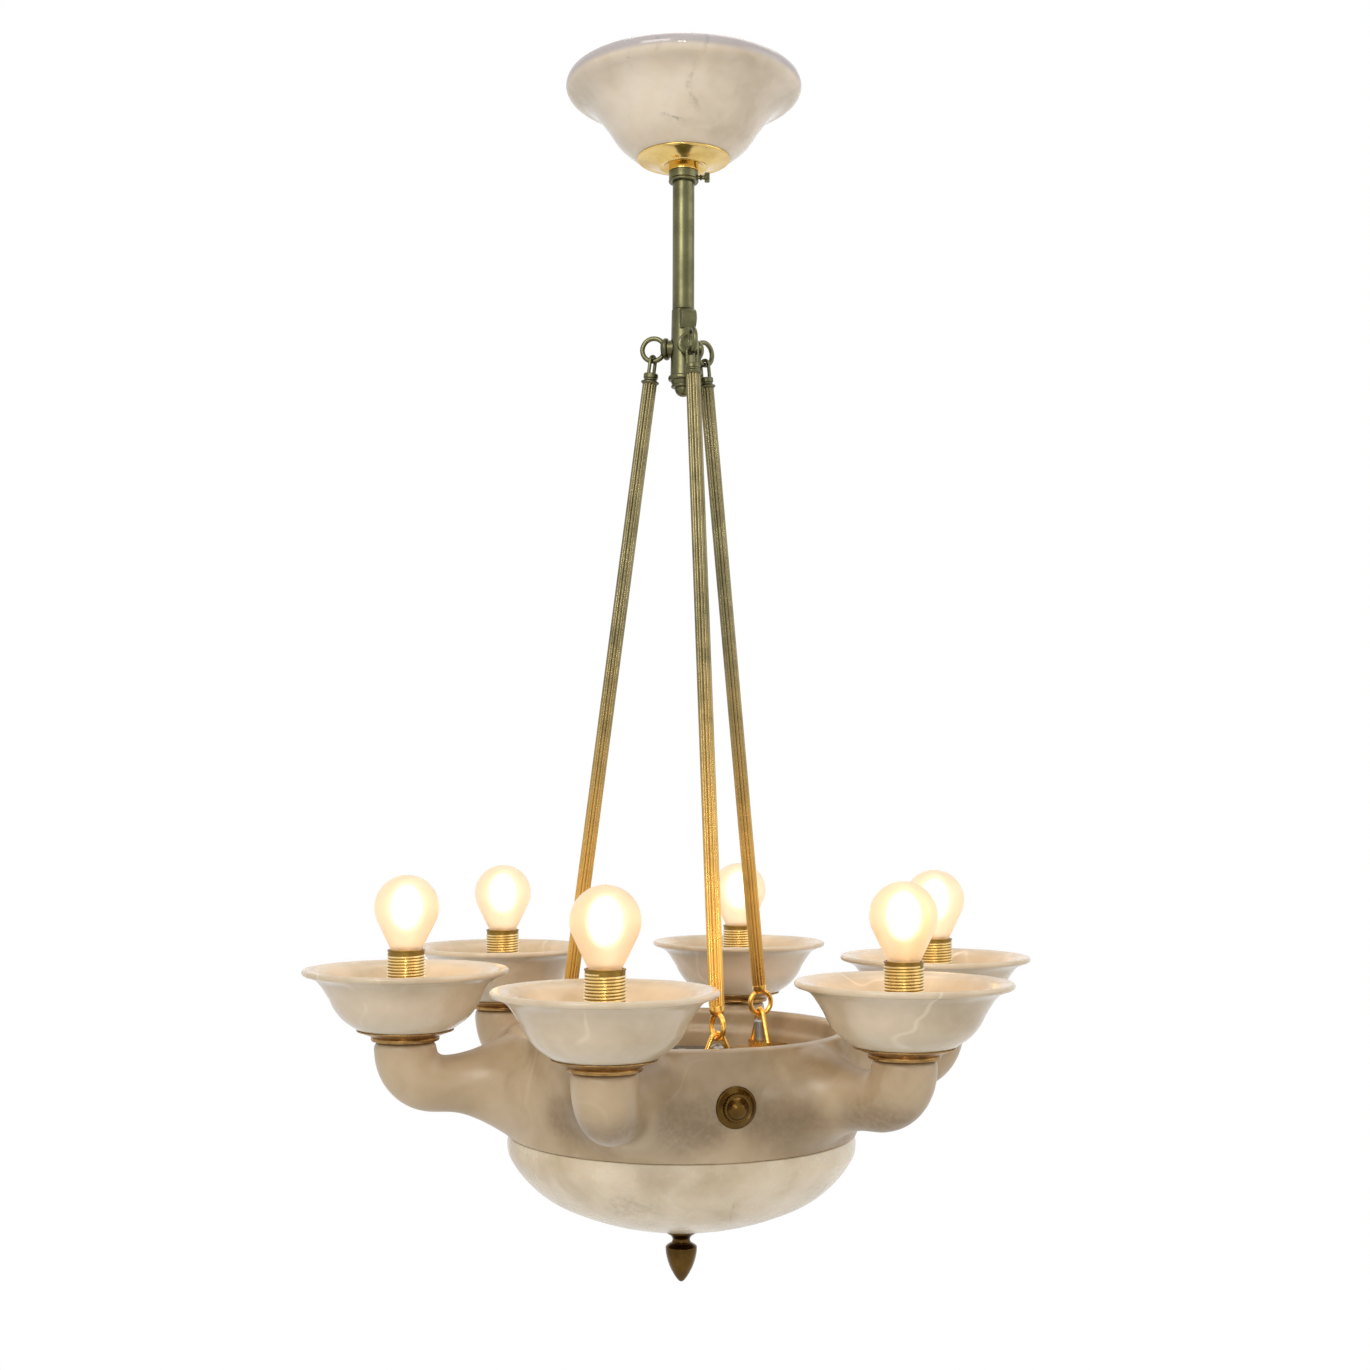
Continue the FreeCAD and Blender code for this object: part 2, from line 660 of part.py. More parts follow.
def bail(twist):
    """A triangular bail on a drilled foot, hung in the rod's ring."""
    lean = math.radians(BAIL_SPREAD)
    centre = BAIL_Z - BAIL_ARC_R
    foot_top = STRAP_TOP + BAIL_FOOT_THICK
    side = BAIL_ARC_R * math.cos(lean)
    shoulder = centre + BAIL_ARC_R * math.sin(lean)
    end_z = STRAP_TOP + BAIL_FOOT_THICK / 2
    end_y = side + (shoulder - end_z) * math.tan(lean)
    path = [
        Part.LineSegment(Vector(0, -end_y, end_z), Vector(0, -side, shoulder)).toShape(),
        Part.Arc(Vector(0, -side, shoulder), Vector(0, 0, BAIL_Z), Vector(0, side, shoulder)).toShape(),
        Part.LineSegment(Vector(0, side, shoulder), Vector(0, end_y, end_z)).toShape(),
    ]
    half_length = end_y + BAIL_WIRE_R
    below = Part.makeBox(2 * half_length, 4 * half_length, half_length)
    below.translate(Vector(-half_length, -2 * half_length, STRAP_TOP - half_length))
    legs = wire_path(path, BAIL_WIRE_R).cut(below)
    foot = Part.makeBox(BAIL_FOOT_WIDTH, 2 * half_length, BAIL_FOOT_THICK)
    foot.translate(Vector(-BAIL_FOOT_WIDTH / 2, -half_length, STRAP_TOP))
    foot = foot.makeFillet(BAIL_FOOT_WIDTH * 0.45, [e for e in foot.Edges if abs(e.tangentAt(0).z) > 0.9])
    whole = legs.fuse(foot).cut(rod(STUD_R + HOLE_GAP, STRAP_TOP - OVERRUN, foot_top + OVERRUN))
    whole.rotate(Vector(0, 0, 0), Vector(0, 0, 1), twist)
    return whole.translated(hanging_point(twist))


def bracket_leg_x():
    """Distance of a bracket leg's outer face from the axis: its edges touch the wall."""
    return math.sqrt(WALL_R**2 - (STRAP_WIDTH / 2) ** 2) - LEG_GAP


def hanger_bracket(twist):
    """The bent strap between bail and wall, with the stud that the bail turns on."""
    outer = bracket_leg_x()
    foot = STRAP_TOP - STRAP_LEG
    bend = STRAP_THICK * 1.5
    strap = face(
        (STRAP_INNER_R, STRAP_TOP),
        (outer - bend, STRAP_TOP),
        ((outer - bend + bend * ROUND, STRAP_TOP - bend + bend * ROUND), (outer, STRAP_TOP - bend)),
        (outer, foot),
        (outer - STRAP_THICK, foot),
        (outer - STRAP_THICK, PLATE_TOP),
        (STRAP_INNER_R, PLATE_TOP),
    )
    strap.translate(Vector(0, -STRAP_WIDTH / 2, 0))
    strap = strap.extrude(Vector(0, STRAP_WIDTH, 0))
    stud = rod(STUD_R, STRAP_TOP - STRAP_THICK, STRAP_TOP + STUD_LENGTH).translated(hanging_point(twist))
    hole = radial_rod(BOLT_R + HOLE_GAP, outer - 3 * STRAP_THICK, outer + STRAP_THICK, BOLT_Z)
    return strap.fuse(stud).cut(hole)


def bail_nut(twist):
    """The tall knurled nut between a bail's legs, blind over the stud."""
    low = STRAP_TOP + BAIL_FOOT_THICK
    top = RING_Z - EYE_RING_R - RING_WIRE_R - KNURL_TOP_GAP
    nut = turned(
        (0, low),
        (KNURL_R - EDGE, low),
        (KNURL_R, low + EDGE),
        (KNURL_R, top - KNURL_DOME),
        [(KNURL_R * 0.8, top - KNURL_DOME * 0.45), (KNURL_R * 0.4, top - KNURL_DOME * 0.08), (0, top)],
    )
    nut = nut.cut(rod(STUD_R + HINGE_GAP, low - OVERRUN, STRAP_TOP + STUD_LENGTH + HOLE_GAP))
    return nut.translated(hanging_point(twist))


def spot_face_x():
    """Distance of the flat spots under the rosettes from the axis."""
    return math.sqrt(DRUM_BELLY_R**2 - (ROSETTE_R + SPOT_MARGIN) ** 2) - SPOT_DEPTH


def rosette():
    """The bronze rosette: a moulded disc and a ball on the head of a through-bolt."""
    back = spot_face_x()
    end = bracket_leg_x() - STRAP_THICK - BOLT_NUT_THICK - THREAD_PROUD
    inner = (ROSETTE_BALL_R, back)
    outer = (ROSETTE_R, back + ROSETTE_THICK)
    ball = back + ROSETTE_OUT - ROSETTE_BALL_R
    disc = turned(
        (0, end),
        (BOLT_R, end),
        (BOLT_R, back),
        (ROSETTE_R, back),
        tuple(between(inner, outer, (1.02, 0.25), (0.85, 0.45))),
        tuple(between(inner, outer, (0.33, 0.8), (0, 1))),
        (0, back + ROSETTE_THICK),
    )
    disc = disc.fuse(Part.makeSphere(ROSETTE_BALL_R, Vector(0, 0, ball)).common(
        rod(2 * ROSETTE_BALL_R, back + ROSETTE_THICK / 2, ball + 2 * ROSETTE_BALL_R)))
    return to_radial(disc, BOLT_Z)


def bolt_nut():
    """The hexagon nut on a through-bolt, inside the bracket leg."""
    near = bracket_leg_x() - STRAP_THICK - BOLT_NUT_THICK
    corners = [
        Vector(near, BOLT_NUT_R * math.sin(k * math.pi / 3), BOLT_Z + BOLT_NUT_R * math.cos(k * math.pi / 3))
        for k in range(7)
    ]
    nut = Part.Face(Part.makePolygon(corners)).extrude(Vector(BOLT_NUT_THICK, 0, 0))
    return nut.cut(radial_rod(BOLT_R + HINGE_GAP, near - OVERRUN, near + BOLT_NUT_THICK + OVERRUN, BOLT_Z))


# ---- bowl ----------------------------------------------------------------
def rounded_section(x, half_width, top, bottom, squareness):
    """A closed upright section at a distance x: an oval that squares off with squareness."""
    middle = (top + bottom) / 2
    half_height = (top - bottom) / 2
    points = []
    for k in range(16):
        angle = 2 * math.pi * k / 16
        c, s = math.cos(angle), math.sin(angle)
        across = math.copysign(abs(c) ** squareness, c)
        up = math.copysign(abs(s) ** squareness, s)
        points.append(Vector(x, half_width * across, middle + half_height * up))
    curve = Part.BSplineCurve()
    curve.interpolate(points, True)
    return Part.Wire([curve.toShape()])


def arm_root():
    """The flare of an arm: sections that grow from the round waist into the bowl's wall."""
    length = ARM_JOINT_R - DRUM_RIM_R + FLARE_SINK
    sections = [rounded_section(ARM_JOINT_R, WAIST_R, WAIST_Z + WAIST_R, WAIST_Z - WAIST_R, 1.0)]
    for k, (inward, wider, rise, fall) in enumerate(FLARE):
        squareness = 1.0 - 0.09 * (k + 1)
        half_width = WAIST_R + wider * (FLARE_HALF_WIDTH - WAIST_R)
        top = min(WAIST_Z + WAIST_R + rise * FLARE_RISE, RIM - FLARE_SHY)
        bottom = max(WAIST_Z - WAIST_R - fall * FLARE_FALL, FOOT + FLARE_SHY)
        sections.append(rounded_section(ARM_JOINT_R - inward * length, half_width, top, bottom, squareness))
    return Part.makeLoft(sections, True, False)


def bowl_drum():
    """The alabaster bowl ring with six arm roots grown out of it, hollow and drilled."""
    shy = (1 - ROUND) * RIM_ROUND
    belly = between((DRUM_RIM_R, RIM), (DRUM_BELLY_R, FOOT), (0.88, 0.35), (1, 0.5), (0.88, 0.72))
    drum = turned(
        (0, RIM),
        (DRUM_RIM_R - RIM_ROUND, RIM),
        ((DRUM_RIM_R - shy, RIM - shy), (DRUM_RIM_R, RIM - RIM_ROUND)),
        belly + [(DRUM_FOOT_R, FOOT)],
        (0, FOOT),
    )
    root = arm_root()
    hollow = turned(
        (0, RIM + OVERRUN),
        (BAND_R + RIM_ROUND / 2, RIM + OVERRUN),
        (BAND_R, RIM - RIM_ROUND / 2),
        (BAND_R, RIM - BAND_DEPTH),
        (WALL_R, RIM - BAND_DEPTH - BAND_STEP),
        (WALL_R, FOOT - OVERRUN),
        (0, FOOT - OVERRUN),
    )
    near = WALL_R - OVERRUN
    past_joint = ARM_JOINT_R + OVERRUN
    channel = radial_rod(WIRE_HOLE_R, near, past_joint, WAIST_Z)
    mortise = radial_rod(TENON_R + HOLE_GAP, ARM_JOINT_R - TENON_LENGTH - HOLE_GAP, past_joint, WAIST_Z)
    bolt_hole = radial_rod(BOLT_R + HOLE_GAP, near, past_joint, BOLT_Z)
    spot = radial_rod(ROSETTE_R + SPOT_MARGIN, spot_face_x(), past_joint, BOLT_Z)
    for turn in arm_turns():
        drum = drum.fuse(at_turn(root, turn))
    drum = drum.cut(hollow)
    for turn in arm_turns():
        drum = drum.cut(at_turn(channel.fuse(mortise), turn))
    for turn in rod_turns():
        drum = drum.cut(at_turn(bolt_hole.fuse(spot), turn))
    return drum


def bowl_arm():
    """The elbow of an arm: rounds swung about the crotch, a neck on top and a tenon."""
    crotch_x = ARM_JOINT_R
    crotch_z = WAIST_Z + WAIST_R + CROTCH_R
    steps = 6
    rounds = []
    for k in range(steps + 1):
        part = k / steps
        swing = math.radians(90 * part)
        radius = WAIST_R + (NECK_FOOT_R - WAIST_R) * part
        reach = CROTCH_R + radius
        centre = Vector(crotch_x + reach * math.sin(swing), 0, crotch_z - reach * math.cos(swing))
        along = Vector(math.cos(swing), 0, math.sin(swing))
        rounds.append(Part.Wire([Part.makeCircle(radius, centre, along)]))
    elbow = Part.makeLoft(rounds, True, False)
    neck = turned(
        (0, crotch_z),
        (NECK_FOOT_R, crotch_z),
        (NECK_TOP_R, (crotch_z + ARM_TOP) / 2),
        (NECK_TOP_R, ARM_TOP - NECK_CHAMFER),
        (NECK_TOP_R - NECK_CHAMFER, ARM_TOP),
        (0, ARM_TOP),
    )
    whole = elbow.fuse(moved(neck, x=ARM_R))
    tenon_end = ARM_JOINT_R - TENON_LENGTH
    whole = whole.fuse(radial_rod(TENON_R, tenon_end, ARM_JOINT_R + OVERRUN, WAIST_Z))
    whole = whole.cut(radial_rod(WIRE_HOLE_R, tenon_end - OVERRUN, ARM_R, WAIST_Z))
    return whole.cut(rod(SOCKET_TUBE_R + HOLE_GAP, WAIST_Z - WIRE_HOLE_R, ARM_TOP + OVERRUN, ARM_R))


# ---- cups, plates and lampholders ----------------------------------------
def cup():
    """An alabaster cup: an ogee wall with a round lip that turns outwards."""
    lip = CUP_RIM - CUP_LIP_R
    lip_r = CUP_R - CUP_LIP_R
    floor = CUP_FOOT + CUP_FLOOR
    rim = (CUP_R, CUP_RIM)
    outside = between(
        (CUP_FOOT_R, CUP_FOOT), rim,
        (0.005, 0.01), (0.26, 0.176), (0.42, 0.36), (0.527, 0.546), (0.706, 0.8), (0.848, 0.863),
    )
    inside = between(
        (CUP_FOOT_R, floor), rim,
        (0.797, 0.963), (0.633, 0.847), (0.456, 0.53), (0.316, 0.247), (-0.025, 0.028), (-0.15, 0),
    )
    return turned(
        (SOCKET_TUBE_R + HOLE_GAP, CUP_FOOT),
        (CUP_FOOT_R - CUP_LIP_R, CUP_FOOT),
        outside + [(lip_r, lip - CUP_LIP_R)],
        ((CUP_R, lip), (lip_r, CUP_RIM)),
        inside,
        (SOCKET_TUBE_R + HOLE_GAP, floor),
    )


def cup_plate():
    """The brass plate between an arm's neck and its cup: a shallow dish and a band."""
    inner = (PLATE_BAND_R, CUP_FOOT)
    outer = (CUP_PLATE_R, ARM_TOP)
    return turned(
        (SOCKET_TUBE_R + HOLE_GAP, CUP_FOOT),
        *between(inner, outer, (0.97, 0)),
        tuple(between(inner, outer, (1, 0.065), (0.97, 0.13))),
        between(inner, outer, (0.58, 0.3), (0.055, 0.58)),
        *between(inner, outer, (0, 0.63)),
        tuple(between(inner, outer, (0.045, 0.82), (0, 1))),
        (SOCKET_TUBE_R + HOLE_GAP, ARM_TOP),
    )


def lampholder():
    """The brass-cased lampholder: a wide mouth, the screw socket and a drilled foot."""
    return turned(
        (SOCKET_TUBE_R + HINGE_GAP, SLEEVE_FOOT),
        (SLEEVE_R, SLEEVE_FOOT),
        (SLEEVE_R, SLEEVE_TOP - EDGE),
        (SLEEVE_R - EDGE, SLEEVE_TOP),
        (SLEEVE_MOUTH_R, SLEEVE_TOP),
        (SLEEVE_MOUTH_R, SLEEVE_TOP - SLEEVE_MOUTH_DEPTH),
        (SOCKET_R, SLEEVE_TOP - SLEEVE_MOUTH_DEPTH),
        (SOCKET_R, SLEEVE_TOP - SOCKET_DEPTH),
        (0, SLEEVE_TOP - SOCKET_DEPTH),
        (0, SLEEVE_FOOT + SLEEVE_FLOOR),
        (SOCKET_TUBE_R + HINGE_GAP, SLEEVE_FOOT + SLEEVE_FLOOR),
    )


def socket_tube():
    """The threaded tube that clamps lampholder, cup, plate and arm together."""
    top = SLEEVE_FOOT + SLEEVE_FLOOR - HINGE_GAP
    return turned(
        (SOCKET_TUBE_BORE_R, top - SOCKET_TUBE_LENGTH),
        (SOCKET_TUBE_R, top - SOCKET_TUBE_LENGTH),
        (SOCKET_TUBE_R, top),
        (SOCKET_TUBE_BORE_R, top),
    )


def bulb_globe():
    """The pear-shaped glass of a bulb, open where it is cemented into its cap."""
    top = SLEEVE_TOP + BULB_RISE
    centre = top - BULB_R
    inner = BULB_R - BULB_GLASS
    low = SLEEVE_TOP - CAP_TOP_DROP
    down = math.radians(50)
    side, below = math.cos(down), math.sin(down)
    stem = (BULB_STEM_R, low)
    mouth = (BULB_MOUTH_R, SLEEVE_TOP)
    stem_in = (BULB_STEM_R - BULB_GLASS, low)
    mouth_in = (BULB_MOUTH_R - BULB_GLASS, SLEEVE_TOP)
    return turned(
        stem_in,
        stem,
        between(stem, mouth, (0.38, 0.36), (1, 1)) + [(BULB_R * side, centre - BULB_R * below)],
        ((BULB_R, centre), (0, top)),
        (0, top - BULB_GLASS),
        ((inner, centre), (inner * side, centre - inner * below)),
        between(stem_in, mouth_in, (1, 1.02), (0.38, 0.38), (0, 0)),
    )


def bulb_cap():
    """The screw cap of a bulb: a shell that takes the glass, a round foot and a contact."""
    top = SLEEVE_TOP - CAP_TOP_DROP
    foot = (0, top - SCREW_CAP_LENGTH)
    return turned(
        (0, top),
        (SCREW_CAP_R - EDGE, top),
        (SCREW_CAP_R, top - EDGE),
        *between(foot, (SCREW_CAP_R, top), (1, 0.26), (0.63, 0.08), (0.35, 0.044), (0.23, 0)),
        foot,
    )


# ---- lower dome and its clamp --------------------------------------------
def bowl_dome():
    """The shallow alabaster dome under the bowl ring, ground flat round its middle."""
    inner = (DOME_R - DOME_WALL, FOOT)
    floor = (DOME_FLAT_R, DOME_FOOT + DOME_WALL)
    outside = between(
        (DOME_FLAT_R, DOME_FOOT), (DOME_R, FOOT),
        (0.995, 0.797), (0.89, 0.566), (0.728, 0.357), (0.528, 0.212), (0.286, 0.091), (0, 0),
    )
    inside = between(floor, inner, (0.324, 0.091), (0.583, 0.234), (0.786, 0.424), (0.961, 0.661), (1, 1))
    return turned(
        inner,
        (DOME_R, FOOT),
        outside,
        (ROD_SCREW_R + HOLE_GAP, DOME_FOOT),
        (ROD_SCREW_R + HOLE_GAP, floor[1]),
        floor,
        inside,
    )


def dome_disc():
    """The bronze disc between dome and finial."""
    edge = (DISC_R, DOME_FOOT)
    foot = (FINIAL_FLANGE_R, DISC_FOOT)
    return turned(
        (ROD_SCREW_R + HOLE_GAP, DOME_FOOT),
        edge,
        *between(edge, foot, (0, 0.3)),
        between(edge, foot, (0.33, 0.63), (0.78, 0.87), (1.08, 1)),
        (ROD_SCREW_R + HOLE_GAP, DISC_FOOT),
    )


def finial():
    """The turned bronze finial: a flange, a waist and a bud, on the end of the centre rod."""
    top = (0, DISC_FOOT - HINGE_GAP)
    tip = top[1] - FINIAL_LENGTH
    flange = (FINIAL_FLANGE_R, tip)
    whole = turned(
        top,
        *between(top, flange, (0.71, 0), (0.77, 0.035)),
        tuple(between(top, flange, (1, 0.065), (0.905, 0.095))),
        between(top, (FINIAL_NECK_R, tip), (1.2, 0.156), (1, 0.22), (1.14, 0.28)),
        between(
            top, (FINIAL_BUD_R, tip),
            (0.95, 0.337), (1, 0.392), (0.897, 0.515), (0.605, 0.7), (0.28, 0.88), (0.1, 0.982), (0, 1),
        ),
    )
    bore = rod(ROD_SCREW_R + HINGE_GAP, DISC_FOOT - CENTRE_ROD_END - HOLE_GAP, DISC_FOOT + OVERRUN)
    return whole.cut(bore)


def centre_rod():
    """The threaded rod down the middle, from the plate's nut to the finial."""
    top = PLATE_TOP + CENTRE_NUT_THICK + THREAD_PROUD
    return rod(ROD_SCREW_R, DISC_FOOT - CENTRE_ROD_END, top)


def centre_nut():
    """The round nut on the plate that carries the centre rod."""
    return turned(
        (ROD_SCREW_R + HINGE_GAP, PLATE_TOP),
        (CENTRE_NUT_R, PLATE_TOP),
        (CENTRE_NUT_R, PLATE_TOP + CENTRE_NUT_THICK - NUT_CHAMFER),
        (CENTRE_NUT_R - NUT_CHAMFER, PLATE_TOP + CENTRE_NUT_THICK),
        (ROD_SCREW_R + HINGE_GAP, PLATE_TOP + CENTRE_NUT_THICK),
    )


def inner_plate():
    """The dark plate inside the bowl, screwed up under the three straps."""
    return turned(
        (ROD_SCREW_R + HOLE_GAP, PLATE_TOP - PLATE_THICK),
        (PLATE_R - EDGE, PLATE_TOP - PLATE_THICK),
        (PLATE_R, PLATE_TOP - PLATE_THICK / 2),
        (PLATE_R - EDGE, PLATE_TOP),
        (ROD_SCREW_R + HOLE_GAP, PLATE_TOP),
    )


# ---- assembly ------------------------------------------------------------
def around(shape, turns):
    """Copies of a piece at several turns, as a group of separate solids."""
    return Part.makeCompound([at_turn(shape, turn) for turn in turns])


def main():
    os.makedirs("parts", exist_ok=True)
    save("ceiling_bracket", ceiling_bracket())
    save("stem_nut", stem_nut())
    save("stem_tube", stem_tube())
    save("canopy_bowl", canopy_bowl())
    save("canopy_dish", canopy_dish())
    save("canopy_ring_nut", canopy_ring_nut())
    save("canopy_collar", canopy_collar())
    save("canopy_thumbscrew", canopy_thumbscrew())
    save("hub_body", hub_body())
    save("hub_cap", hub_cap())

    tube = rod_tube()
    bails = []
    brackets = []
    nuts = []
    for k, turn in enumerate(rod_turns()):
        save("hub_eye_%d" % (k + 1), hub_eye(turn))
        save("rod_loop_%d" % (k + 1), on_rod(rod_loop(LOOP_TWISTS[k]), turn))
        save("rod_tube_%d" % (k + 1), on_rod(tube, turn))
        save("rod_ring_%d" % (k + 1), on_rod(rod_ring(RING_TWISTS[k]), turn))
        bails.append(at_turn(bail(RING_TWISTS[k]), turn))
        brackets.append(at_turn(hanger_bracket(RING_TWISTS[k]), turn))
        nuts.append(at_turn(bail_nut(RING_TWISTS[k]), turn))
        nuts.append(at_turn(bolt_nut(), turn))
    save("hanger_bails", Part.makeCompound(bails))
    save("hanger_brackets", Part.makeCompound(brackets))
    save("hanger_nuts", Part.makeCompound(nuts))
    save("rosettes", around(rosette(), rod_turns()))

    save("bowl_drum", bowl_drum())
    arm = bowl_arm()
    one_cup = moved(cup(), x=ARM_R)
    globe = moved(bulb_globe(), x=ARM_R)
    cap = moved(bulb_cap(), x=ARM_R)
    for k, turn in enumerate(arm_turns()):
        save("bowl_arm_%d" % (k + 1), at_turn(arm, turn))
        save("cup_%d" % (k + 1), at_turn(one_cup, turn))
        save("bulb_globe_%d" % (k + 1), at_turn(globe, turn))
        save("bulb_cap_%d" % (k + 1), at_turn(cap, turn))
    save("cup_plates", around(moved(cup_plate(), x=ARM_R), arm_turns()))
    save("lampholders", around(moved(lampholder(), x=ARM_R), arm_turns()))
    save("socket_tubes", around(moved(socket_tube(), x=ARM_R), arm_turns()))

    save("bowl_dome", bowl_dome())
    save("dome_disc", dome_disc())
    save("inner_plate", inner_plate())
    save("centre_rod", centre_rod())
    save("centre_nut", centre_nut())
    save("finial", finial())
    print("rod lean %.2f, ring %.1f, rim %.1f, foot %.1f" % (ROD_LEAN, RING_Z, RIM, FOOT))


main()
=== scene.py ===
"""Six-light hanging lamp of carved alabaster and bronze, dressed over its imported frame.

Sizes in the classes are millimetres in the lamp's own frame: the origin is on the
ceiling, +Z is up and the front rod hangs towards -Y. The mesh tools turn them into
metres. A turn is an angle about Z, counted from the front towards +X, and what stands
off the axis is made along +X and then turned.
"""

import logging
import math
from collections.abc import Callable
from dataclasses import dataclass
from enum import Enum

import bpy
from mathutils import Matrix, Vector


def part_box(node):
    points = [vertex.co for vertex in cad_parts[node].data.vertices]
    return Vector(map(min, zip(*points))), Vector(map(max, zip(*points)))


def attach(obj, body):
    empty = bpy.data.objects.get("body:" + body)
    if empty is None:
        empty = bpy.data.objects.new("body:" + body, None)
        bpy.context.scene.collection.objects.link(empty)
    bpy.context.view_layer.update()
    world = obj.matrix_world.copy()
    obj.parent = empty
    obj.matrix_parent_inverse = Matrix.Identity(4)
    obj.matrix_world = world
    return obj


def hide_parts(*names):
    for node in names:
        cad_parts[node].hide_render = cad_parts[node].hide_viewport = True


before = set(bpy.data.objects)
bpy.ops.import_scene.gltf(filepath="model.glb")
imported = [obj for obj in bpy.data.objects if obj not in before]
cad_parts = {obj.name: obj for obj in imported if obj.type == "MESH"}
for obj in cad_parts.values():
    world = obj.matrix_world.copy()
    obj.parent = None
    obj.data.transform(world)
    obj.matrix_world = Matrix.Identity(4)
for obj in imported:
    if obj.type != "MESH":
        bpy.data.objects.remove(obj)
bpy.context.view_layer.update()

LOG = logging.getLogger("lamp")
MM = 0.001
WELD = 1e-6  # vertices closer than this, in metres, are one
ROD_TURNS = [0.0, 120.0, 240.0]
ARM_TURNS = [30.0, 90.0, 150.0, 210.0, 270.0, 330.0]
RING_TWISTS = (10.0, -24.0, 0.0)  # how each rod's ring and bail stand turned, in degrees
ROD_REACH = 23.6  # from the lamp's axis to the hub's ring eyes
ROD_HANG = 89.5  # from the lamp's axis to the rings at the rods' feet
ROD_LENGTH = 503.5  # from the top of a rod's loop to the middle of its ring
ROD_LEAN = math.asin((ROD_HANG - ROD_REACH) / ROD_LENGTH)
ARM_REACH = 206.2  # from the lamp's axis to the middle of a cup
BOWL_DEPTH = 76.2

Pair = tuple[float, float]


# ---- frame ---------------------------------------------------------------
def low(node: str) -> float:
    """Returns the lowest level of a frame node, in mm."""
    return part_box(node)[0].z / MM


def high(node: str) -> float:
    """Returns the highest level of a frame node, in mm."""
    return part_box(node)[1].z / MM


# ---- outlines ------------------------------------------------------------
def through(points: list[tuple[float, ...]], steps: int = 6) -> list[tuple[float, ...]]:
    """Draws a smooth curve through points.

    Args:
        points: What the curve passes through; any number of values each.
        steps: Stretches between two of them.

    Returns:
        The points on the curve, the first one left out.
    """
    padded = [points[0]] + list(points) + [points[-1]]
    curve = []
    for before, start, end, after in zip(padded, padded[1:], padded[2:], padded[3:]):
        for step in range(1, steps + 1):
            t = step / steps
            curve.append(tuple(
                0.5 * (2 * b + (c - a) * t + (2 * a - 5 * b + 4 * c - d) * t ** 2
                       + (3 * b - a - 3 * c + d) * t ** 3)
                for a, b, c, d in zip(before, start, end, after)))
    return curve


def round_through(start: Pair, middle: Pair, end: Pair, steps: int = 8) -> list[Pair]:
    """Draws a round arc through three points.

    Args:
        start: Where the arc starts.
        middle: A point that it passes through.
        end: Where it ends.
        steps: Its stretches.

    Returns:
        The arc's points, the first one left out.
    """
    (ax, ay), (bx, by), (cx, cy) = start, middle, end
    area = 2 * (ax * (by - cy) + bx * (cy - ay) + cx * (ay - by))
    a2, b2, c2 = ax * ax + ay * ay, bx * bx + by * by, cx * cx + cy * cy
    ux = (a2 * (by - cy) + b2 * (cy - ay) + c2 * (ay - by)) / area
    uy = (a2 * (cx - bx) + b2 * (ax - cx) + c2 * (bx - ax)) / area
    radius = math.hypot(ax - ux, ay - uy)
    first = math.atan2(ay - uy, ax - ux)
    sweep = (math.atan2(cy - uy, cx - ux) - first) % math.tau
    reach = (math.atan2(by - uy, bx - ux) - first) % math.tau
    if reach > sweep:
        sweep -= math.tau
    angles = [first + sweep * k / steps for k in range(1, steps + 1)]
    return [(ux + radius * math.cos(angle), uy + radius * math.sin(angle)) for angle in angles]


def outline(start: Pair, *runs: object) -> list[Pair]:
    """Lays an outline out of straight runs, arcs and curves.

    Args:
        start: The first point.
        *runs: A pair is a straight run to it, a pair of pairs is an arc through the
            first to the second, and a list is a smooth curve through its points.

    Returns:
        All the outline's points. It ends at its start, unless both ends lie on the axis.
    """
    points = [start]
    for run in runs:
        if isinstance(run, list):
            points += through([points[-1]] + run)
        elif isinstance(run[0], tuple):
            points += round_through(points[-1], run[0], run[1])
        else:
            points.append(run)
    if start[0] > 0 or points[-1][0] > 0:
        points.append(start)
    return points


# ---- mesh tools ----------------------------------------------------------
def pick(*pieces: bpy.types.Object) -> None:
    """Selects pieces alone, with the first one active."""
    bpy.ops.object.select_all(action="DESELECT")
    for piece in pieces:
        piece.select_set(True)
    bpy.context.view_layer.objects.active = pieces[0]


def apply_modifier(piece: bpy.types.Object, kind: str, **settings: object) -> None:
    """Gives a piece a modifier with its settings, and applies it.

    Args:
        piece: The object.
        kind: The modifier's type.
        **settings: Its properties.
    """
    modifier = piece.modifiers.new(kind.lower(), kind)
    for key, value in settings.items():
        setattr(modifier, key, value)
    pick(piece)
    bpy.ops.object.modifier_apply(modifier=modifier.name)


def edit(piece: bpy.types.Object) -> None:
    """Opens a piece alone for editing, with all of it selected."""
    pick(piece)
    bpy.ops.object.mode_set(mode="EDIT")
    bpy.ops.mesh.select_all(action="SELECT")


def close(piece: bpy.types.Object, angle: float = 35.0, fill: bool = False) -> bpy.types.Object:
    """Welds a piece, turns its faces outwards and smooths its shading.

    Args:
        piece: The object, in edit or object mode.
        angle: Edges sharper than this, in degrees, stay sharp.
        fill: Whether open ends are closed.

    Returns:
        The piece, in object mode, at the origin.
    """
    if bpy.context.mode == "OBJECT":
        edit(piece)
    bpy.ops.mesh.select_all(action="SELECT")
    bpy.ops.mesh.remove_doubles(threshold=WELD)
    if fill:
        bpy.ops.mesh.fill_holes(sides=0)
        bpy.ops.mesh.select_all(action="SELECT")
    bpy.ops.mesh.normals_make_consistent(inside=False)
    bpy.ops.object.mode_set(mode="OBJECT")
    bpy.ops.object.transform_apply()
    bpy.ops.object.shade_smooth_by_angle(angle=math.radians(angle))
    return piece


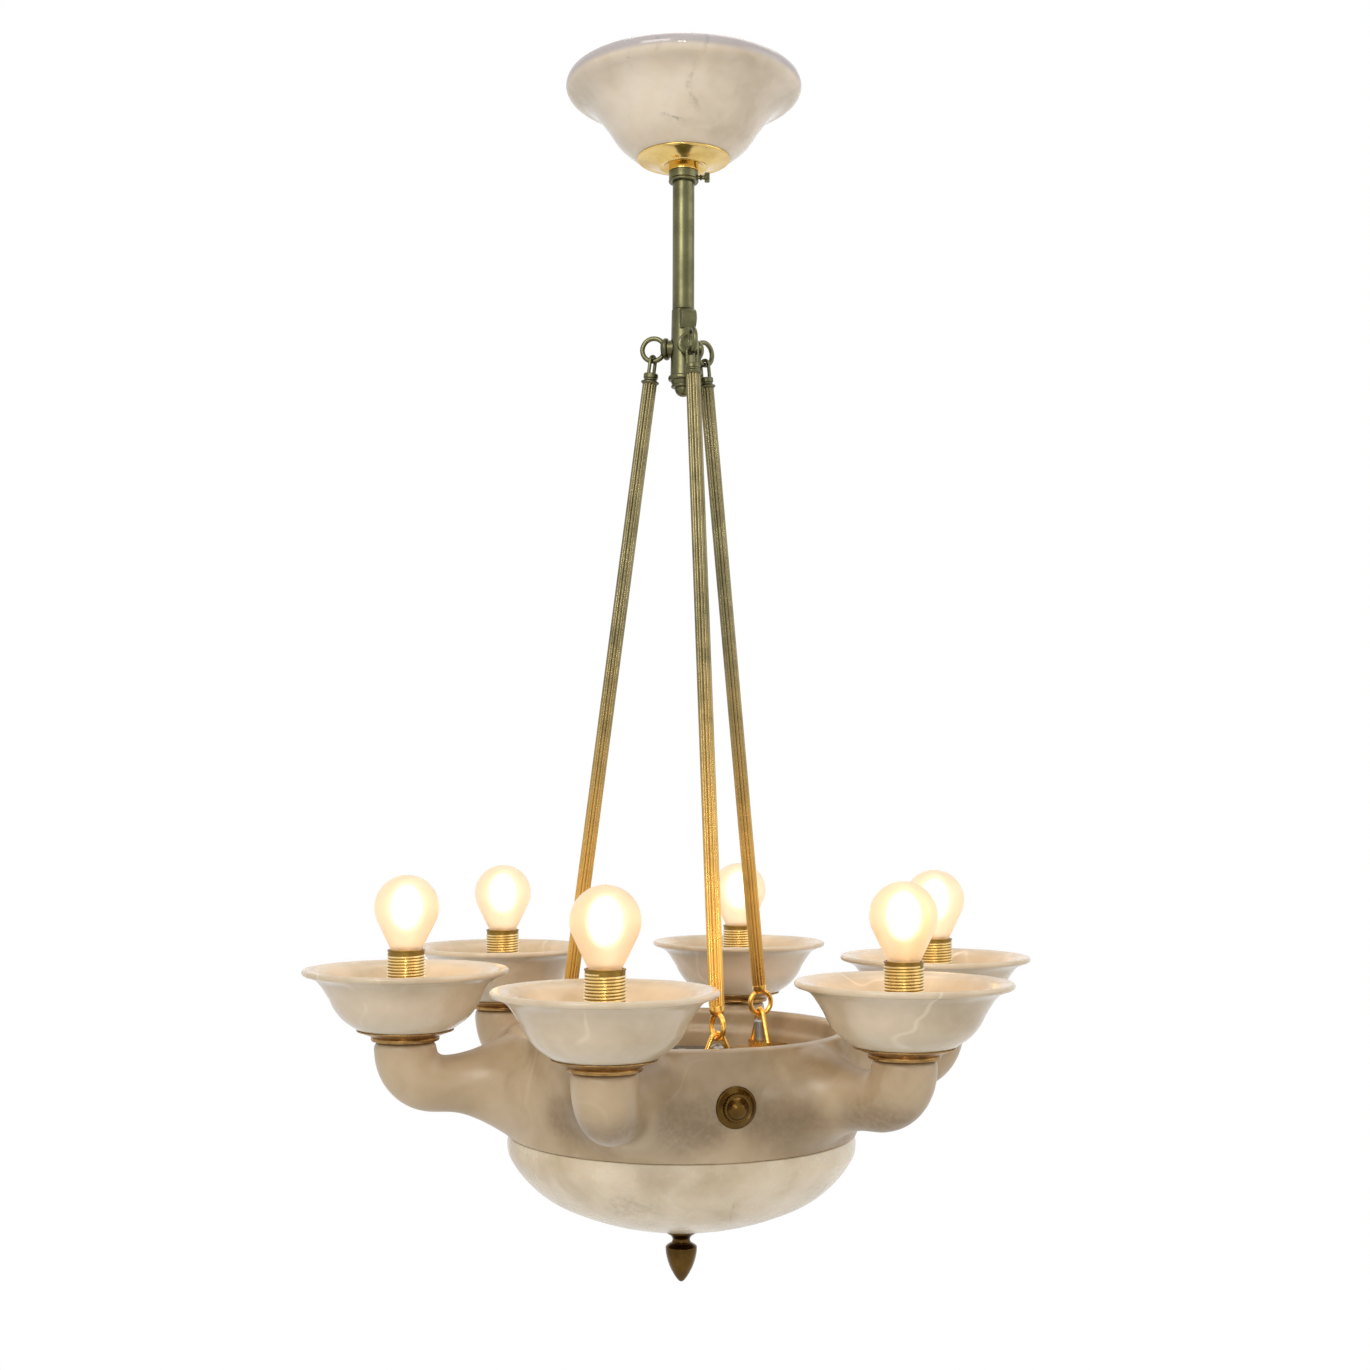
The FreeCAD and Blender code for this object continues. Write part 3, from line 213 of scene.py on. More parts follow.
def chain(name: str, points: list[tuple[float, float, float]]) -> bpy.types.Object:
    """Draws a chain of vertices through points in mm, open for editing and all selected.

    Args:
        name: The piece's name.
        points: The points, in order.

    Returns:
        The piece, in edit mode.
    """
    bpy.ops.object.select_all(action="DESELECT")
    bpy.ops.mesh.primitive_plane_add(size=MM, location=tuple(v * MM for v in points[0]))
    piece = bpy.context.object
    piece.name = piece.data.name = name
    bpy.ops.object.mode_set(mode="EDIT")
    bpy.ops.mesh.merge(type="CENTER")
    for here, there in zip(points, points[1:]):
        step = tuple((b - a) * MM for a, b in zip(here, there))
        bpy.ops.mesh.extrude_vertices_move(TRANSFORM_OT_translate={"value": step})
    bpy.ops.mesh.select_all(action="SELECT")
    return piece


def turned(name: str, points: list[Pair], segments: int = 96, angle: float = 35.0) -> bpy.types.Object:
    """Turns a solid about Z: a chain of vertices is drawn along the outline and spun.

    Args:
        name: The piece's name.
        points: Radius and height of each outline point, in mm.
        segments: Facets round the axis.
        angle: Edges sharper than this, in degrees, stay sharp.

    Returns:
        The closed piece.
    """
    piece = chain(name, [(r, 0, z) for r, z in points])
    bpy.ops.mesh.remove_doubles(threshold=WELD)
    bpy.ops.mesh.spin(steps=segments, angle=math.tau, center=(0, 0, 0), axis=(0, 0, 1))
    return close(piece, angle)


def hoop(name: str, radius: float, place: Vector, along: Vector, vertices: int = 20) -> bpy.types.Object:
    """Starts a swept piece: one round of vertices, square to a direction, open for editing.

    Args:
        name: The piece's name.
        radius: The round's radius, in mm.
        place: Its middle.
        along: The direction that it is square to.
        vertices: Their number.

    Returns:
        The piece, in edit mode.
    """
    bpy.ops.object.select_all(action="DESELECT")
    bpy.ops.mesh.primitive_circle_add(
        vertices=vertices, radius=radius * MM, location=place * MM,
        rotation=along.to_track_quat("Z", "Y").to_euler())
    piece = bpy.context.object
    piece.name = piece.data.name = name
    bpy.ops.object.mode_set(mode="EDIT")
    return piece


def draw_out(step: Vector) -> None:
    """Extrudes the selected round by a step in mm."""
    bpy.ops.mesh.extrude_region_move(TRANSFORM_OT_translate={"value": step * MM})


def resize(share: tuple[float, float, float], centre: Vector) -> None:
    """Scales what is selected about a point in mm.

    Args:
        share: What each direction is multiplied by.
        centre: The point.
    """
    bpy.ops.transform.resize(value=share, center_override=centre * MM)


def bend(degrees: float, centre: Vector, axis: Vector, steps: int = 12) -> None:
    """Sweeps the selected round about an axis, by the right-hand rule.

    Args:
        degrees: How far.
        centre: A point on the axis, in mm.
        axis: Its direction.
        steps: The sweep's stretches.
    """
    bpy.ops.mesh.spin(steps=steps, angle=-math.radians(degrees), center=centre * MM, axis=axis)


def ring(name: str, radius: float, wire: float, place: Vector, hole: Vector) -> bpy.types.Object:
    """Makes a round ring of wire whose hole looks along a direction.

    Args:
        name: The piece's name.
        radius: From the ring's middle to the middle of its wire, in mm.
        wire: The wire's radius.
        place: The ring's middle.
        hole: The direction.

    Returns:
        The closed piece.
    """
    across = hole.orthogonal().normalized()
    piece = hoop(name, wire, place + across * radius, hole.cross(across))
    bend(360, place, hole, 64)
    return close(piece)


def place(piece: bpy.types.Object, matrix: Matrix) -> bpy.types.Object:
    """Moves a piece by a matrix whose shift is in mm, and keeps its object at the origin.

    Args:
        piece: The object.
        matrix: The turn and the shift.

    Returns:
        The piece.
    """
    moved = matrix.copy()
    moved.translation = matrix.translation * MM
    pick(piece)
    piece.matrix_world = moved @ piece.matrix_world
    bpy.ops.object.transform_apply()
    return piece


def upright(x: float, y: float = 0.0, z: float = 0.0) -> Matrix:
    """Returns the shift to a place, in mm."""
    return Matrix.Translation((x, y, z))


def laid(z: float) -> Matrix:
    """Returns the matrix that lays a piece turned about Z along +X, at a level."""
    return upright(0, z=z) @ Matrix.Rotation(math.radians(90), 4, "Y")


def at_turn(turn: float) -> Matrix:
    """Returns the matrix that brings what is made along +X to a turn."""
    return Matrix.Rotation(math.radians(turn - 90), 4, "Z")


def copies(piece: bpy.types.Object, names: list[str], turns: list[float]) -> list[bpy.types.Object]:
    """Copies a piece made along +X to several turns, each copy with its own mesh.

    Args:
        piece: The pattern, which becomes the last copy.
        names: The copies' names.
        turns: Their turns.

    Returns:
        The pieces, in order.
    """
    made = []
    for name, turn in zip(names, turns):
        copy = piece
        if turn != turns[-1]:
            copy = piece.copy()
            copy.data = piece.data.copy()
            bpy.context.collection.objects.link(copy)
        copy.name = copy.data.name = name
        made.append(place(copy, at_turn(turn)))
    return made


def join(pieces: list[bpy.types.Object]) -> bpy.types.Object:
    """Makes several meshes one object, which keeps the first one's name.

    Args:
        pieces: The objects, of which only the first is left.

    Returns:
        The one object.
    """
    pick(*pieces)
    bpy.ops.object.join()
    return pieces[0]


def weld(piece: bpy.types.Object, other: bpy.types.Object) -> bpy.types.Object:
    """Joins another solid to a piece with an applied Boolean.

    Args:
        piece: The solid that stays.
        other: The solid that is joined to it and removed.

    Returns:
        The closed piece.
    """
    apply_modifier(piece, "BOOLEAN", operation="UNION", solver="EXACT", object=other)
    bpy.data.objects.remove(other)
    return close(piece)


def select_where(piece: bpy.types.Object, test: Callable[[Vector], bool]) -> None:
    """Selects the vertices of a piece in edit mode whose place in mm passes a test.

    Args:
        piece: The object.
        test: What tells whether a place is selected.
    """
    bpy.ops.mesh.select_mode(type="VERT")
    bpy.ops.mesh.select_all(action="DESELECT")
    bpy.ops.object.mode_set(mode="OBJECT")
    for vertex in piece.data.vertices:
        vertex.select = test(vertex.co / MM)
    bpy.ops.object.mode_set(mode="EDIT")


# ---- materials -----------------------------------------------------------
SMOOTH = {"interpolation_type": "SMOOTHSTEP"}
COLOURS = {"data_type": "RGBA"}


def linear(colour: str) -> tuple[float, float, float, float]:
    """Turns an sRGB colour into linear light.

    Args:
        colour: Six hex digits after a hash, such as "#c8b69b".

    Returns:
        Linear red, green, blue and alpha.
    """
    parts = [int(colour[k:k + 2], 16) / 255 for k in (1, 3, 5)]
    return tuple(c / 12.92 if c <= 0.04045 else ((c + 0.055) / 1.055) ** 2.4 for c in parts) + (1.0,)


def per(size: float) -> float:
    """Returns the pattern scale at which features are about size mm across."""
    return 1 / (size * MM)


def lead(tree: bpy.types.NodeTree, value: object, socket: bpy.types.NodeSocket) -> None:
    """Gives a socket what feeds it.

    Args:
        tree: The material's nodes.
        value: An output, a hex colour or a plain value.
        socket: Where it goes.
    """
    if isinstance(value, bpy.types.NodeSocket):
        tree.links.new(value, socket)
    else:
        socket.default_value = linear(value) if isinstance(value, str) else value


def add(tree: bpy.types.NodeTree, kind: str, settings: dict[str | int, object], output: str | int = 0,
        stops: tuple[tuple[float, str], ...] = ()) -> bpy.types.NodeSocket:
    """Adds a node to a material.

    Args:
        tree: The material's nodes.
        kind: The node's type, without "ShaderNode".
        settings: Its properties by name, and by name or number what its sockets get.
        output: The output that is used.
        stops: A colour ramp's places, with a hex colour each.

    Returns:
        The output.
    """
    node = tree.nodes.new("ShaderNode" + kind)
    for key, value in settings.items():
        if isinstance(key, str) and hasattr(node, key):
            setattr(node, key, value)
        else:
            lead(tree, value, node.inputs[key])
    for k, (position, colour) in enumerate(stops):
        element = node.color_ramp.elements[k] if k < 2 else node.color_ramp.elements.new(1.0)
        element.position, element.color = position, linear(colour)
    return node.outputs[output]


def started(name: str) -> tuple[bpy.types.Material, bpy.types.NodeTree, bpy.types.NodeSocket]:
    """Starts a material.

    Args:
        name: The material's name.

    Returns:
        The material, its nodes and the output that gives places on the object.
    """
    material = bpy.data.materials.new(name)
    material.use_nodes = True
    return material, material.node_tree, add(material.node_tree, "TexCoord", {}, "Object")


def coated(material: bpy.types.Material, values: dict[str, object]) -> bpy.types.Material:
    """Sets the shader of a material.

    Args:
        material: The material.
        values: What the sockets of its Principled shader get.

    Returns:
        The material.
    """
    tree = material.node_tree
    for name, value in values.items():
        lead(tree, value, tree.nodes["Principled BSDF"].inputs[name])
    return material


@dataclass(frozen=True)
class VeinAndShade:
    """A line of veining, or, made wide, a soft patch of painted shade: a wavy sheet through the stone, which
    shows as a line where it meets the surface.

    across is the sheet's direction, centre a point on it and reach how far round that
    point it shows; width, centre and reach are in mm.
    """

    centre: tuple[float, float, float]
    across: tuple[float, float, float]
    width: float
    reach: float
    strength: float = 0.6
    colour: str = "#6e6350"


@dataclass(frozen=True)
class Alabaster:
    """Polished alabaster: a dense, waxy, slightly see-through stone.

    It gives the eye a soft warm body under a low gloss, with clouds of a few
    centimetres, thin pale healed cracks and a few brown veining lines and specks; the bowl
    also carries soft patches of painted shade round the roots of its arms.
    """

    name: str
    light: str = "#dccdb4"
    mid: str = "#cfbda1"
    deep: str = "#bca888"
    pale: str = "#ebdfca"
    cloud: float = 80.0
    shift: float = 0.0
    roughness: float = 0.26
    pale_veins: float = 0.35
    veins_and_shade: tuple[VeinAndShade, ...] = ()
    edge: tuple[float, str] | None = None
    solid: float = 0.15

    def make(self) -> bpy.types.Material:
        """Builds the material."""
        material, tree, own = started(self.name)
        spot = add(tree, "Mapping", {
            "Vector": own, "Location": (self.shift, -0.6 * self.shift, 0.3 * self.shift)})
        warp = self.sway(tree, spot, 45, 2, 30)
        wavy = add(tree, "VectorMath", {"operation": "ADD", 0: spot, 1: warp})
        fine = add(tree, "TexNoise", {"Vector": wavy, "Scale": per(16), "Detail": 4})
        colour = self.cracked(tree, spot, wavy, self.clouded(tree, wavy, fine))
        # Veins, and on the bowl soft patches of painted shade round the arms' roots
        for mark in self.veins_and_shade:
            colour = self.veined_and_shaded(tree, mark, own, warp, colour)
        # On the canopy, a lavender-grey band along the top of the lip: a painted cool reflection
        if self.edge:
            depth, tint = self.edge
            level = add(tree, "SeparateXYZ", {0: own}, 2)
            band = add(tree, "MapRange", SMOOTH | {
                0: level, 1: -depth * MM, 2: -0.65 * depth * MM, 3: 0.0, 4: 0.75})
            colour = add(tree, "Mix", COLOURS | {0: band, 6: colour, 7: tint}, 2)
        grain = add(tree, "TexNoise", {"Vector": own, "Scale": per(6), "Detail": 2})
        return coated(material, {
            "Base Color": colour,
            "Roughness": add(tree, "MapRange", SMOOTH | {
                0: fine, 1: 0.3, 2: 0.7, 3: self.roughness - 0.03, 4: self.roughness + 0.05}),
            "Normal": add(tree, "Bump", {"Height": grain, "Strength": 0.15, "Distance": 0.08 * MM}),
            "IOR": 1.52, "Subsurface Weight": 0.35, "Subsurface Radius": (1.0, 0.62, 0.36),
            "Subsurface Scale": 6 * MM})

    def sway(self, tree: bpy.types.NodeTree, spot: bpy.types.NodeSocket, size: float, detail: float,
             reach: float) -> bpy.types.NodeSocket:
        """Wanders to and fro, so that what it shifts runs wavily.

        Args:
            tree: The material's nodes.
            spot: The place.
            size: How far its waves are apart, in mm.
            detail: How many smaller waves they carry.
            reach: How far it goes from side to side, in mm.

        Returns:
            The shift.
        """
        wander = add(tree, "TexNoise", {"Vector": spot, "Scale": per(size), "Detail": detail}, 1)
        return add(tree, "VectorMath", {
            "operation": "MULTIPLY_ADD", 0: wander, 1: (reach * MM,) * 3, 2: (-reach * MM / 2,) * 3})

    def clouded(self, tree: bpy.types.NodeTree, wavy: bpy.types.NodeSocket,
                fine: bpy.types.NodeSocket) -> bpy.types.NodeSocket:
        """Colours the stone's body, with clouds and a fine mottling.

        Args:
            tree: The material's nodes.
            wavy: The place, shifted wavily.
            fine: The fine pattern.

        Returns:
            The colour.
        """
        cloud = add(tree, "TexNoise", {
            "Vector": wavy, "Scale": per(self.cloud), "Detail": 4, "Roughness": 0.55})
        colour = add(tree, "ValToRGB", {0: cloud}, stops=(
            (0.34, self.deep), (0.5, self.mid), (0.64, self.light)))
        for start, end, most, tint in ((0.46, 0.75, 0.16, self.pale), (0.48, 0.25, 0.12, self.deep)):
            share = add(tree, "MapRange", SMOOTH | {0: fine, 1: start, 2: end, 3: 0.0, 4: most})
            colour = add(tree, "Mix", COLOURS | {0: share, 6: colour, 7: tint}, 2)
        return colour

    def cracked(self, tree: bpy.types.NodeTree, spot: bpy.types.NodeSocket, wavy: bpy.types.NodeSocket,
                colour: bpy.types.NodeSocket) -> bpy.types.NodeSocket:
        """Draws the thin pale lines of healed cracks.

        Args:
            tree: The material's nodes.
            spot: The place.
            wavy: The place, shifted wavily.
            colour: The colour so far.

        Returns:
            The new colour.
        """
        crack = add(tree, "TexNoise", {"Vector": wavy, "Scale": per(110), "Detail": 2, "Roughness": 0.4})
        crack = add(tree, "Math", {"operation": "SUBTRACT", 0: crack, 1: 0.5})
        crack = add(tree, "Math", {"operation": "ABSOLUTE", 0: crack})
        crack = add(tree, "MapRange", SMOOTH | {0: crack, 1: 0.0, 2: 0.014, 3: 1.0, 4: 0.0})
        patch = add(tree, "TexNoise", {"Vector": spot, "Scale": per(55), "Detail": 2})
        patch = add(tree, "MapRange", SMOOTH | {0: patch, 1: 0.45, 2: 0.62, 3: 0.0, 4: self.pale_veins})
        share = add(tree, "Math", {"operation": "MULTIPLY", 0: crack, 1: patch})
        return add(tree, "Mix", COLOURS | {0: share, 6: colour, 7: self.pale}, 2)

    def veined_and_shaded(self, tree: bpy.types.NodeTree, mark: VeinAndShade, own: bpy.types.NodeSocket,
               warp: bpy.types.NodeSocket, colour: bpy.types.NodeSocket) -> bpy.types.NodeSocket:
        """Draws one line of veining, or one soft patch of painted shade.

        Args:
            tree: The material's nodes.
            mark: The line of veining, or the patch of painted shade.
            own: The place on the object.
            warp: The stone's wavy shift.
            colour: The colour so far.

        Returns:
            The new colour.
        """
        centre = tuple(v * MM for v in mark.centre)
        away = add(tree, "VectorMath", {"operation": "SUBTRACT", 0: own, 1: centre})
        bent = add(tree, "VectorMath", {"operation": "ADD", 0: away, 1: warp})
        bent = add(tree, "VectorMath", {"operation": "ADD", 0: bent, 1: self.sway(tree, own, 9, 3, 7)})
        across = Vector(mark.across).normalized()
        off = add(tree, "VectorMath", {"operation": "DOT_PRODUCT", 0: bent, 1: across}, "Value")
        off = add(tree, "Math", {"operation": "ABSOLUTE", 0: off})
        far = add(tree, "VectorMath", {"operation": "LENGTH", 0: away}, "Value")
        gaps = add(tree, "TexNoise", {"Vector": own, "Scale": per(4), "Detail": 3})
        share = mark.strength
        for value, start, end, first, last in (
                (off, 0.0, mark.width * MM, 1.0, 0.0),
                (far, 0.5 * mark.reach * MM, mark.reach * MM, 1.0, 0.0),
                (gaps, 0.38, 0.6, self.solid, 1.0)):
            part = add(tree, "MapRange", SMOOTH | {0: value, 1: start, 2: end, 3: first, 4: last})
            share = add(tree, "Math", {"operation": "MULTIPLY", 0: share, 1: part})
        return add(tree, "Mix", COLOURS | {0: share, 6: colour, 7: mark.colour}, 2)


@dataclass(frozen=True)
class Bronze:
    """Cast and turned bronze under wax: an olive-brown patina with darker clouds and rubbed spots.

    Near the bulbs the colour changes from cool to warm between two levels in mm: a
    painted golden glow, the bulbs' light reflected in the metal.
    """

    name: str
    cool: str = "#6b694c"
    dark: str = "#494832"
    warm: str = "#e2b058"
    start: float = -1200.0
    end: float = -1300.0
    roughness: float = 0.34
    specks: float = 0.25

    def make(self) -> bpy.types.Material:
        """Builds the material."""
        material, tree, own = started(self.name)
        cloud = add(tree, "TexNoise", {"Vector": own, "Scale": per(22), "Detail": 5, "Roughness": 0.6})
        fine = add(tree, "TexNoise", {"Vector": own, "Scale": per(2.4), "Detail": 4, "Roughness": 0.6})
        share = add(tree, "MapRange", SMOOTH | {0: cloud, 1: 0.38, 2: 0.7, 3: 0.0, 4: 0.6})
        colour = add(tree, "Mix", COLOURS | {0: share, 6: self.cool, 7: self.dark}, 2)
        # Painted glow of bulb light, from the start level down to the end level, with a wavy edge
        wobble = add(tree, "Math", {"operation": "MULTIPLY_ADD", 0: cloud, 1: 120 * MM, 2: -60 * MM})
        level = add(tree, "Math", {
            "operation": "ADD", 0: add(tree, "SeparateXYZ", {0: own}, 2), 1: wobble})
        painted_bulb_glow = add(tree, "MapRange", SMOOTH | {
            0: level, 1: self.start * MM, 2: self.end * MM, 3: 0.0, 4: 1.0})
        colour = add(tree, "Mix", COLOURS | {0: painted_bulb_glow, 6: colour, 7: self.warm}, 2)
        share = add(tree, "MapRange", SMOOTH | {0: fine, 1: 0.52, 2: 0.75, 3: 0.0, 4: self.specks})
        return coated(material, {
            "Base Color": add(tree, "Mix", COLOURS | {0: share, 6: colour, 7: self.dark}, 2),
            "Roughness": add(tree, "MapRange", SMOOTH | {
                0: cloud, 1: 0.3, 2: 0.7, 3: self.roughness - 0.04, 4: self.roughness + 0.06}),
            "Normal": add(tree, "Bump", {
                "Height": fine, "Strength": 0.4 * self.specks, "Distance": 0.02 * MM}),
            "Metallic": 1.0})


@dataclass(frozen=True)
class SheetMetal:
    """Turned or pressed metal: bright, with fine handling marks that break up its gloss."""

    name: str
    bright: str
    dull: str
    roughness: float = 0.24
    metallic: float = 1.0
    marks: float = 6.0
    haze: float = 0.6

    def make(self) -> bpy.types.Material:
        """Builds the material."""
        material, tree, own = started(self.name)
        haze = add(tree, "TexNoise", {
            "Vector": own, "Scale": per(self.marks), "Detail": 5, "Roughness": 0.6})
        share = add(tree, "MapRange", SMOOTH | {0: haze, 1: 0.4, 2: 0.68, 3: 0.0, 4: self.haze})
        scratch = add(tree, "TexNoise", {"Vector": own, "Scale": per(0.8), "Detail": 2})
        return coated(material, {
            "Base Color": add(tree, "Mix", COLOURS | {0: share, 6: self.bright, 7: self.dull}, 2),
            "Roughness": add(tree, "MapRange", SMOOTH | {
                0: haze, 1: 0.35, 2: 0.65, 3: self.roughness - 0.03, 4: self.roughness + 0.06}),
            "Normal": add(tree, "Bump", {"Height": scratch, "Strength": 0.03, "Distance": 0.03 * MM}),
            "Metallic": self.metallic})


@dataclass(frozen=True)
class FrostedGlass:
    """Acid-frosted bulb glass: it blurs what glows inside and holds a faint cream glow of its own."""

    name: str
    tint: str = "#fef2e0"
    glow: str = "#ffe4bc"
    strength: float = 0.05
    roughness: float = 0.3

    def make(self) -> bpy.types.Material:
        """Builds the material."""
        material, tree, own = started(self.name)
        frost = add(tree, "TexNoise", {"Vector": own, "Scale": per(1.2), "Detail": 3})
        share = add(tree, "MapRange", SMOOTH | {0: frost, 1: 0.35, 2: 0.65, 3: 0.0, 4: 0.25})
        return coated(material, {
            "Base Color": add(tree, "Mix", COLOURS | {0: share, 6: self.tint, 7: self.glow}, 2),
            "Roughness": add(tree, "MapRange", SMOOTH | {
                0: frost, 1: 0.3, 2: 0.7, 3: self.roughness, 4: self.roughness + 0.08}),
            "Transmission Weight": 1.0, "IOR": 1.3,
            "Emission Color": self.glow, "Emission Strength": self.strength})


@dataclass(frozen=True)
class Glow:
    """The light source inside a bulb: hot white in the middle and warmer towards its ends."""

    name: str
    centre: str = "#fffaf0"
    rim: str = "#fff0d2"
    strength: float = 1.3

    def make(self) -> bpy.types.Material:
        """Builds the material."""
        material, tree, own = started(self.name)
        flicker = add(tree, "TexNoise", {"Vector": own, "Scale": per(12), "Detail": 2})
        share = add(tree, "MapRange", SMOOTH | {0: flicker, 1: 0.4, 2: 0.7, 3: 0.0, 4: 0.5})
        return coated(material, {
            "Emission Color": add(tree, "Mix", COLOURS | {0: share, 6: self.centre, 7: self.rim}, 2),
            "Base Color": self.rim, "Emission Strength": self.strength})


class Finish(Enum):
    """The lamp's finishes."""

    # The canopy's edge band is a painted cool reflection along the top of its lip
    CANOPY = Alabaster(
        "polished_alabaster_canopy", light="#eadfce", mid="#e1d4c0", deep="#cdbea7", pale="#f2ebe0",
        shift=0.4, roughness=0.1, pale_veins=0.12, edge=(12.0, "#a8a3ac"), veins_and_shade=(
            VeinAndShade((-56, -66, -26), (0.9, -0.35, 0.3), 3.4, 17, 0.55, "#8b7f70"),
            VeinAndShade((-57, -58, -37), (1.0, 0.1, 0.2), 2.6, 6, 0.85, "#5f5648"),
            VeinAndShade((-24, -52, -52), (0.45, 0.1, 1.0), 2.6, 13, 0.5, "#7c715f"),
            VeinAndShade((-12, -64, -34), (1.0, 0.1, 0.45), 3.2, 22, 0.3, "#978b7a"),
            VeinAndShade((-10, -89, -6), (1.0, 0.0, 0.1), 3.0, 12, 0.6, "#7d7166"),
            VeinAndShade((-46, -76, -6), (1.0, -0.2, 0.1), 2.6, 10, 0.5, "#8a7f70"),
            VeinAndShade((36, -74, -24), (1.0, 0.2, 0.3), 1.5, 3, 0.8, "#6d6354"),
            VeinAndShade((36, -70, -30), (1.0, 0.2, 0.3), 1.5, 2.6, 0.8, "#6d6354"),
            VeinAndShade((60, 40, -30), (0.3, 1.0, 0.4), 1.8, 60, 0.4)))
    BOWL = Alabaster("carved_alabaster_bowl", light="#c6b091", mid="#b8a181", deep="#9c8462", pale="#d8c7ab",
                     cloud=90.0, shift=1.1, roughness=0.34, pale_veins=0.2, solid=0.8, veins_and_shade=tuple(
                         # Wide soft dark patches on both sides of each arm's root, where it meets the ring:
                         # painted shade
                         VeinAndShade((r * math.sin(math.radians(a)), -r * math.cos(math.radians(a)), -772),
                              (0.2, 0.3, 1.0), 30, 40, 0.75, "#7f6849")
                         for a, r in ((12, 140), (-14, 140), (48, 145), (-50, 145), (105, 140), (-100, 140),
                                      (160, 140), (-165, 140), (30, 190), (-30, 190))))
    CUP = Alabaster("turned_alabaster_cups", light="#dacbb3", mid="#cfbfa5", deep="#bfad90", shift=2.3,
                    roughness=0.18, pale_veins=0.6)
    DOME = Alabaster("turned_alabaster_dome", light="#e9dbc3", mid="#e0d0b6", deep="#cab798", cloud=60.0,
                     shift=3.1, roughness=0.24, pale_veins=0.25, veins_and_shade=(
                         VeinAndShade((2, -112, -843), (1.0, 0.0, 0.02), 0.7, 20, 0.6, "#7d725e"),
                         VeinAndShade((-60, -92, -838), (0.3, 0.2, 1.0), 9, 26, 0.3, "#94866e"),
                         VeinAndShade((70, -80, -835), (0.2, 0.4, 1.0), 8, 24, 0.3, "#94866e")))
    BRONZE = Bronze("waxed_bronze_patina")
    # The rods' start and end set where their painted golden glow of bulb light begins and is full
    ROD = Bronze("reeded_bronze_tube", cool="#7f7656", dark="#5c553a", start=-400.0, end=-760.0,
                 roughness=0.28, specks=0.05)
    DARK_BRONZE = Bronze("dark_cast_bronze", cool="#644a22", dark="#3a2a13", roughness=0.25)
    HANGER = SheetMetal("golden_brass_hangers", "#ffcb66", "#eaa646", 0.26)
    BRASS = SheetMetal("polished_brass", "#dfc077", "#b39148", 0.14, marks=30.0)
    PLATE_BRASS = SheetMetal("brown_lacquered_brass", "#a5814f", "#75572f", 0.3)
    # One brass in two copies: the sleeve darker, as painted shade between the ridges, the thread paler, as
    # painted highlight on them
    SLEEVE = SheetMetal("brass_sleeve_painted_shade", "#8d7136", "#6f5624", 0.32, marks=20.0, haze=0.3)
    THREAD = SheetMetal("brass_thread_painted_highlight", "#f2dca6", "#dfc588", 0.24, marks=20.0, haze=0.3)
    NICKEL = SheetMetal("nickelled_nut", "#a89c84", "#6f6650", 0.3)
    ZINC = SheetMetal("zinc_plated_steel", "#b5b5b0", "#8d8d88", 0.4)
    LACQUER = SheetMetal("dark_lacquered_sheet", "#4c4438", "#38322a", 0.5, 0.0)
    CAP = SheetMetal("pressed_aluminium_cap", "#d8d4c8", "#b0aa9a", 0.34)
    GLASS = FrostedGlass("frosted_bulb_glass")
    GLOW = Glow("glowing_bulb_core")


MADE: dict[Finish, bpy.types.Material] = {}


def dress(piece: bpy.types.Object, finish: Finish) -> bpy.types.Object:
    """Gives a piece, or a frame node, one finish all over.

    Args:
        piece: The object or node.
        finish: Its finish.

    Returns:
        The piece.
    """
    if finish not in MADE:
        MADE[finish] = finish.value.make()
    piece.data.materials.clear()
    piece.data.materials.append(MADE[finish])
    return piece


def keep(piece: bpy.types.Object, finish: Finish, body: str, slot: str, *nodes: str) -> bpy.types.Object:
    """Finishes a piece, gives it its body and hides the frame nodes that it stands for.

    Args:
        piece: The finished mesh.
        finish: Its finish.
        body: The body that it moves with.
        slot: Its material slot in the frame; not used.
        *nodes: The frame nodes that it replaces.

    Returns:
        The piece.
    """
    dress(piece, finish)
    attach(piece, body)
    if nodes:
        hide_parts(*nodes)
    LOG.info("%-20s %6d faces on %s", piece.name, len(piece.data.polygons), body)
    return piece


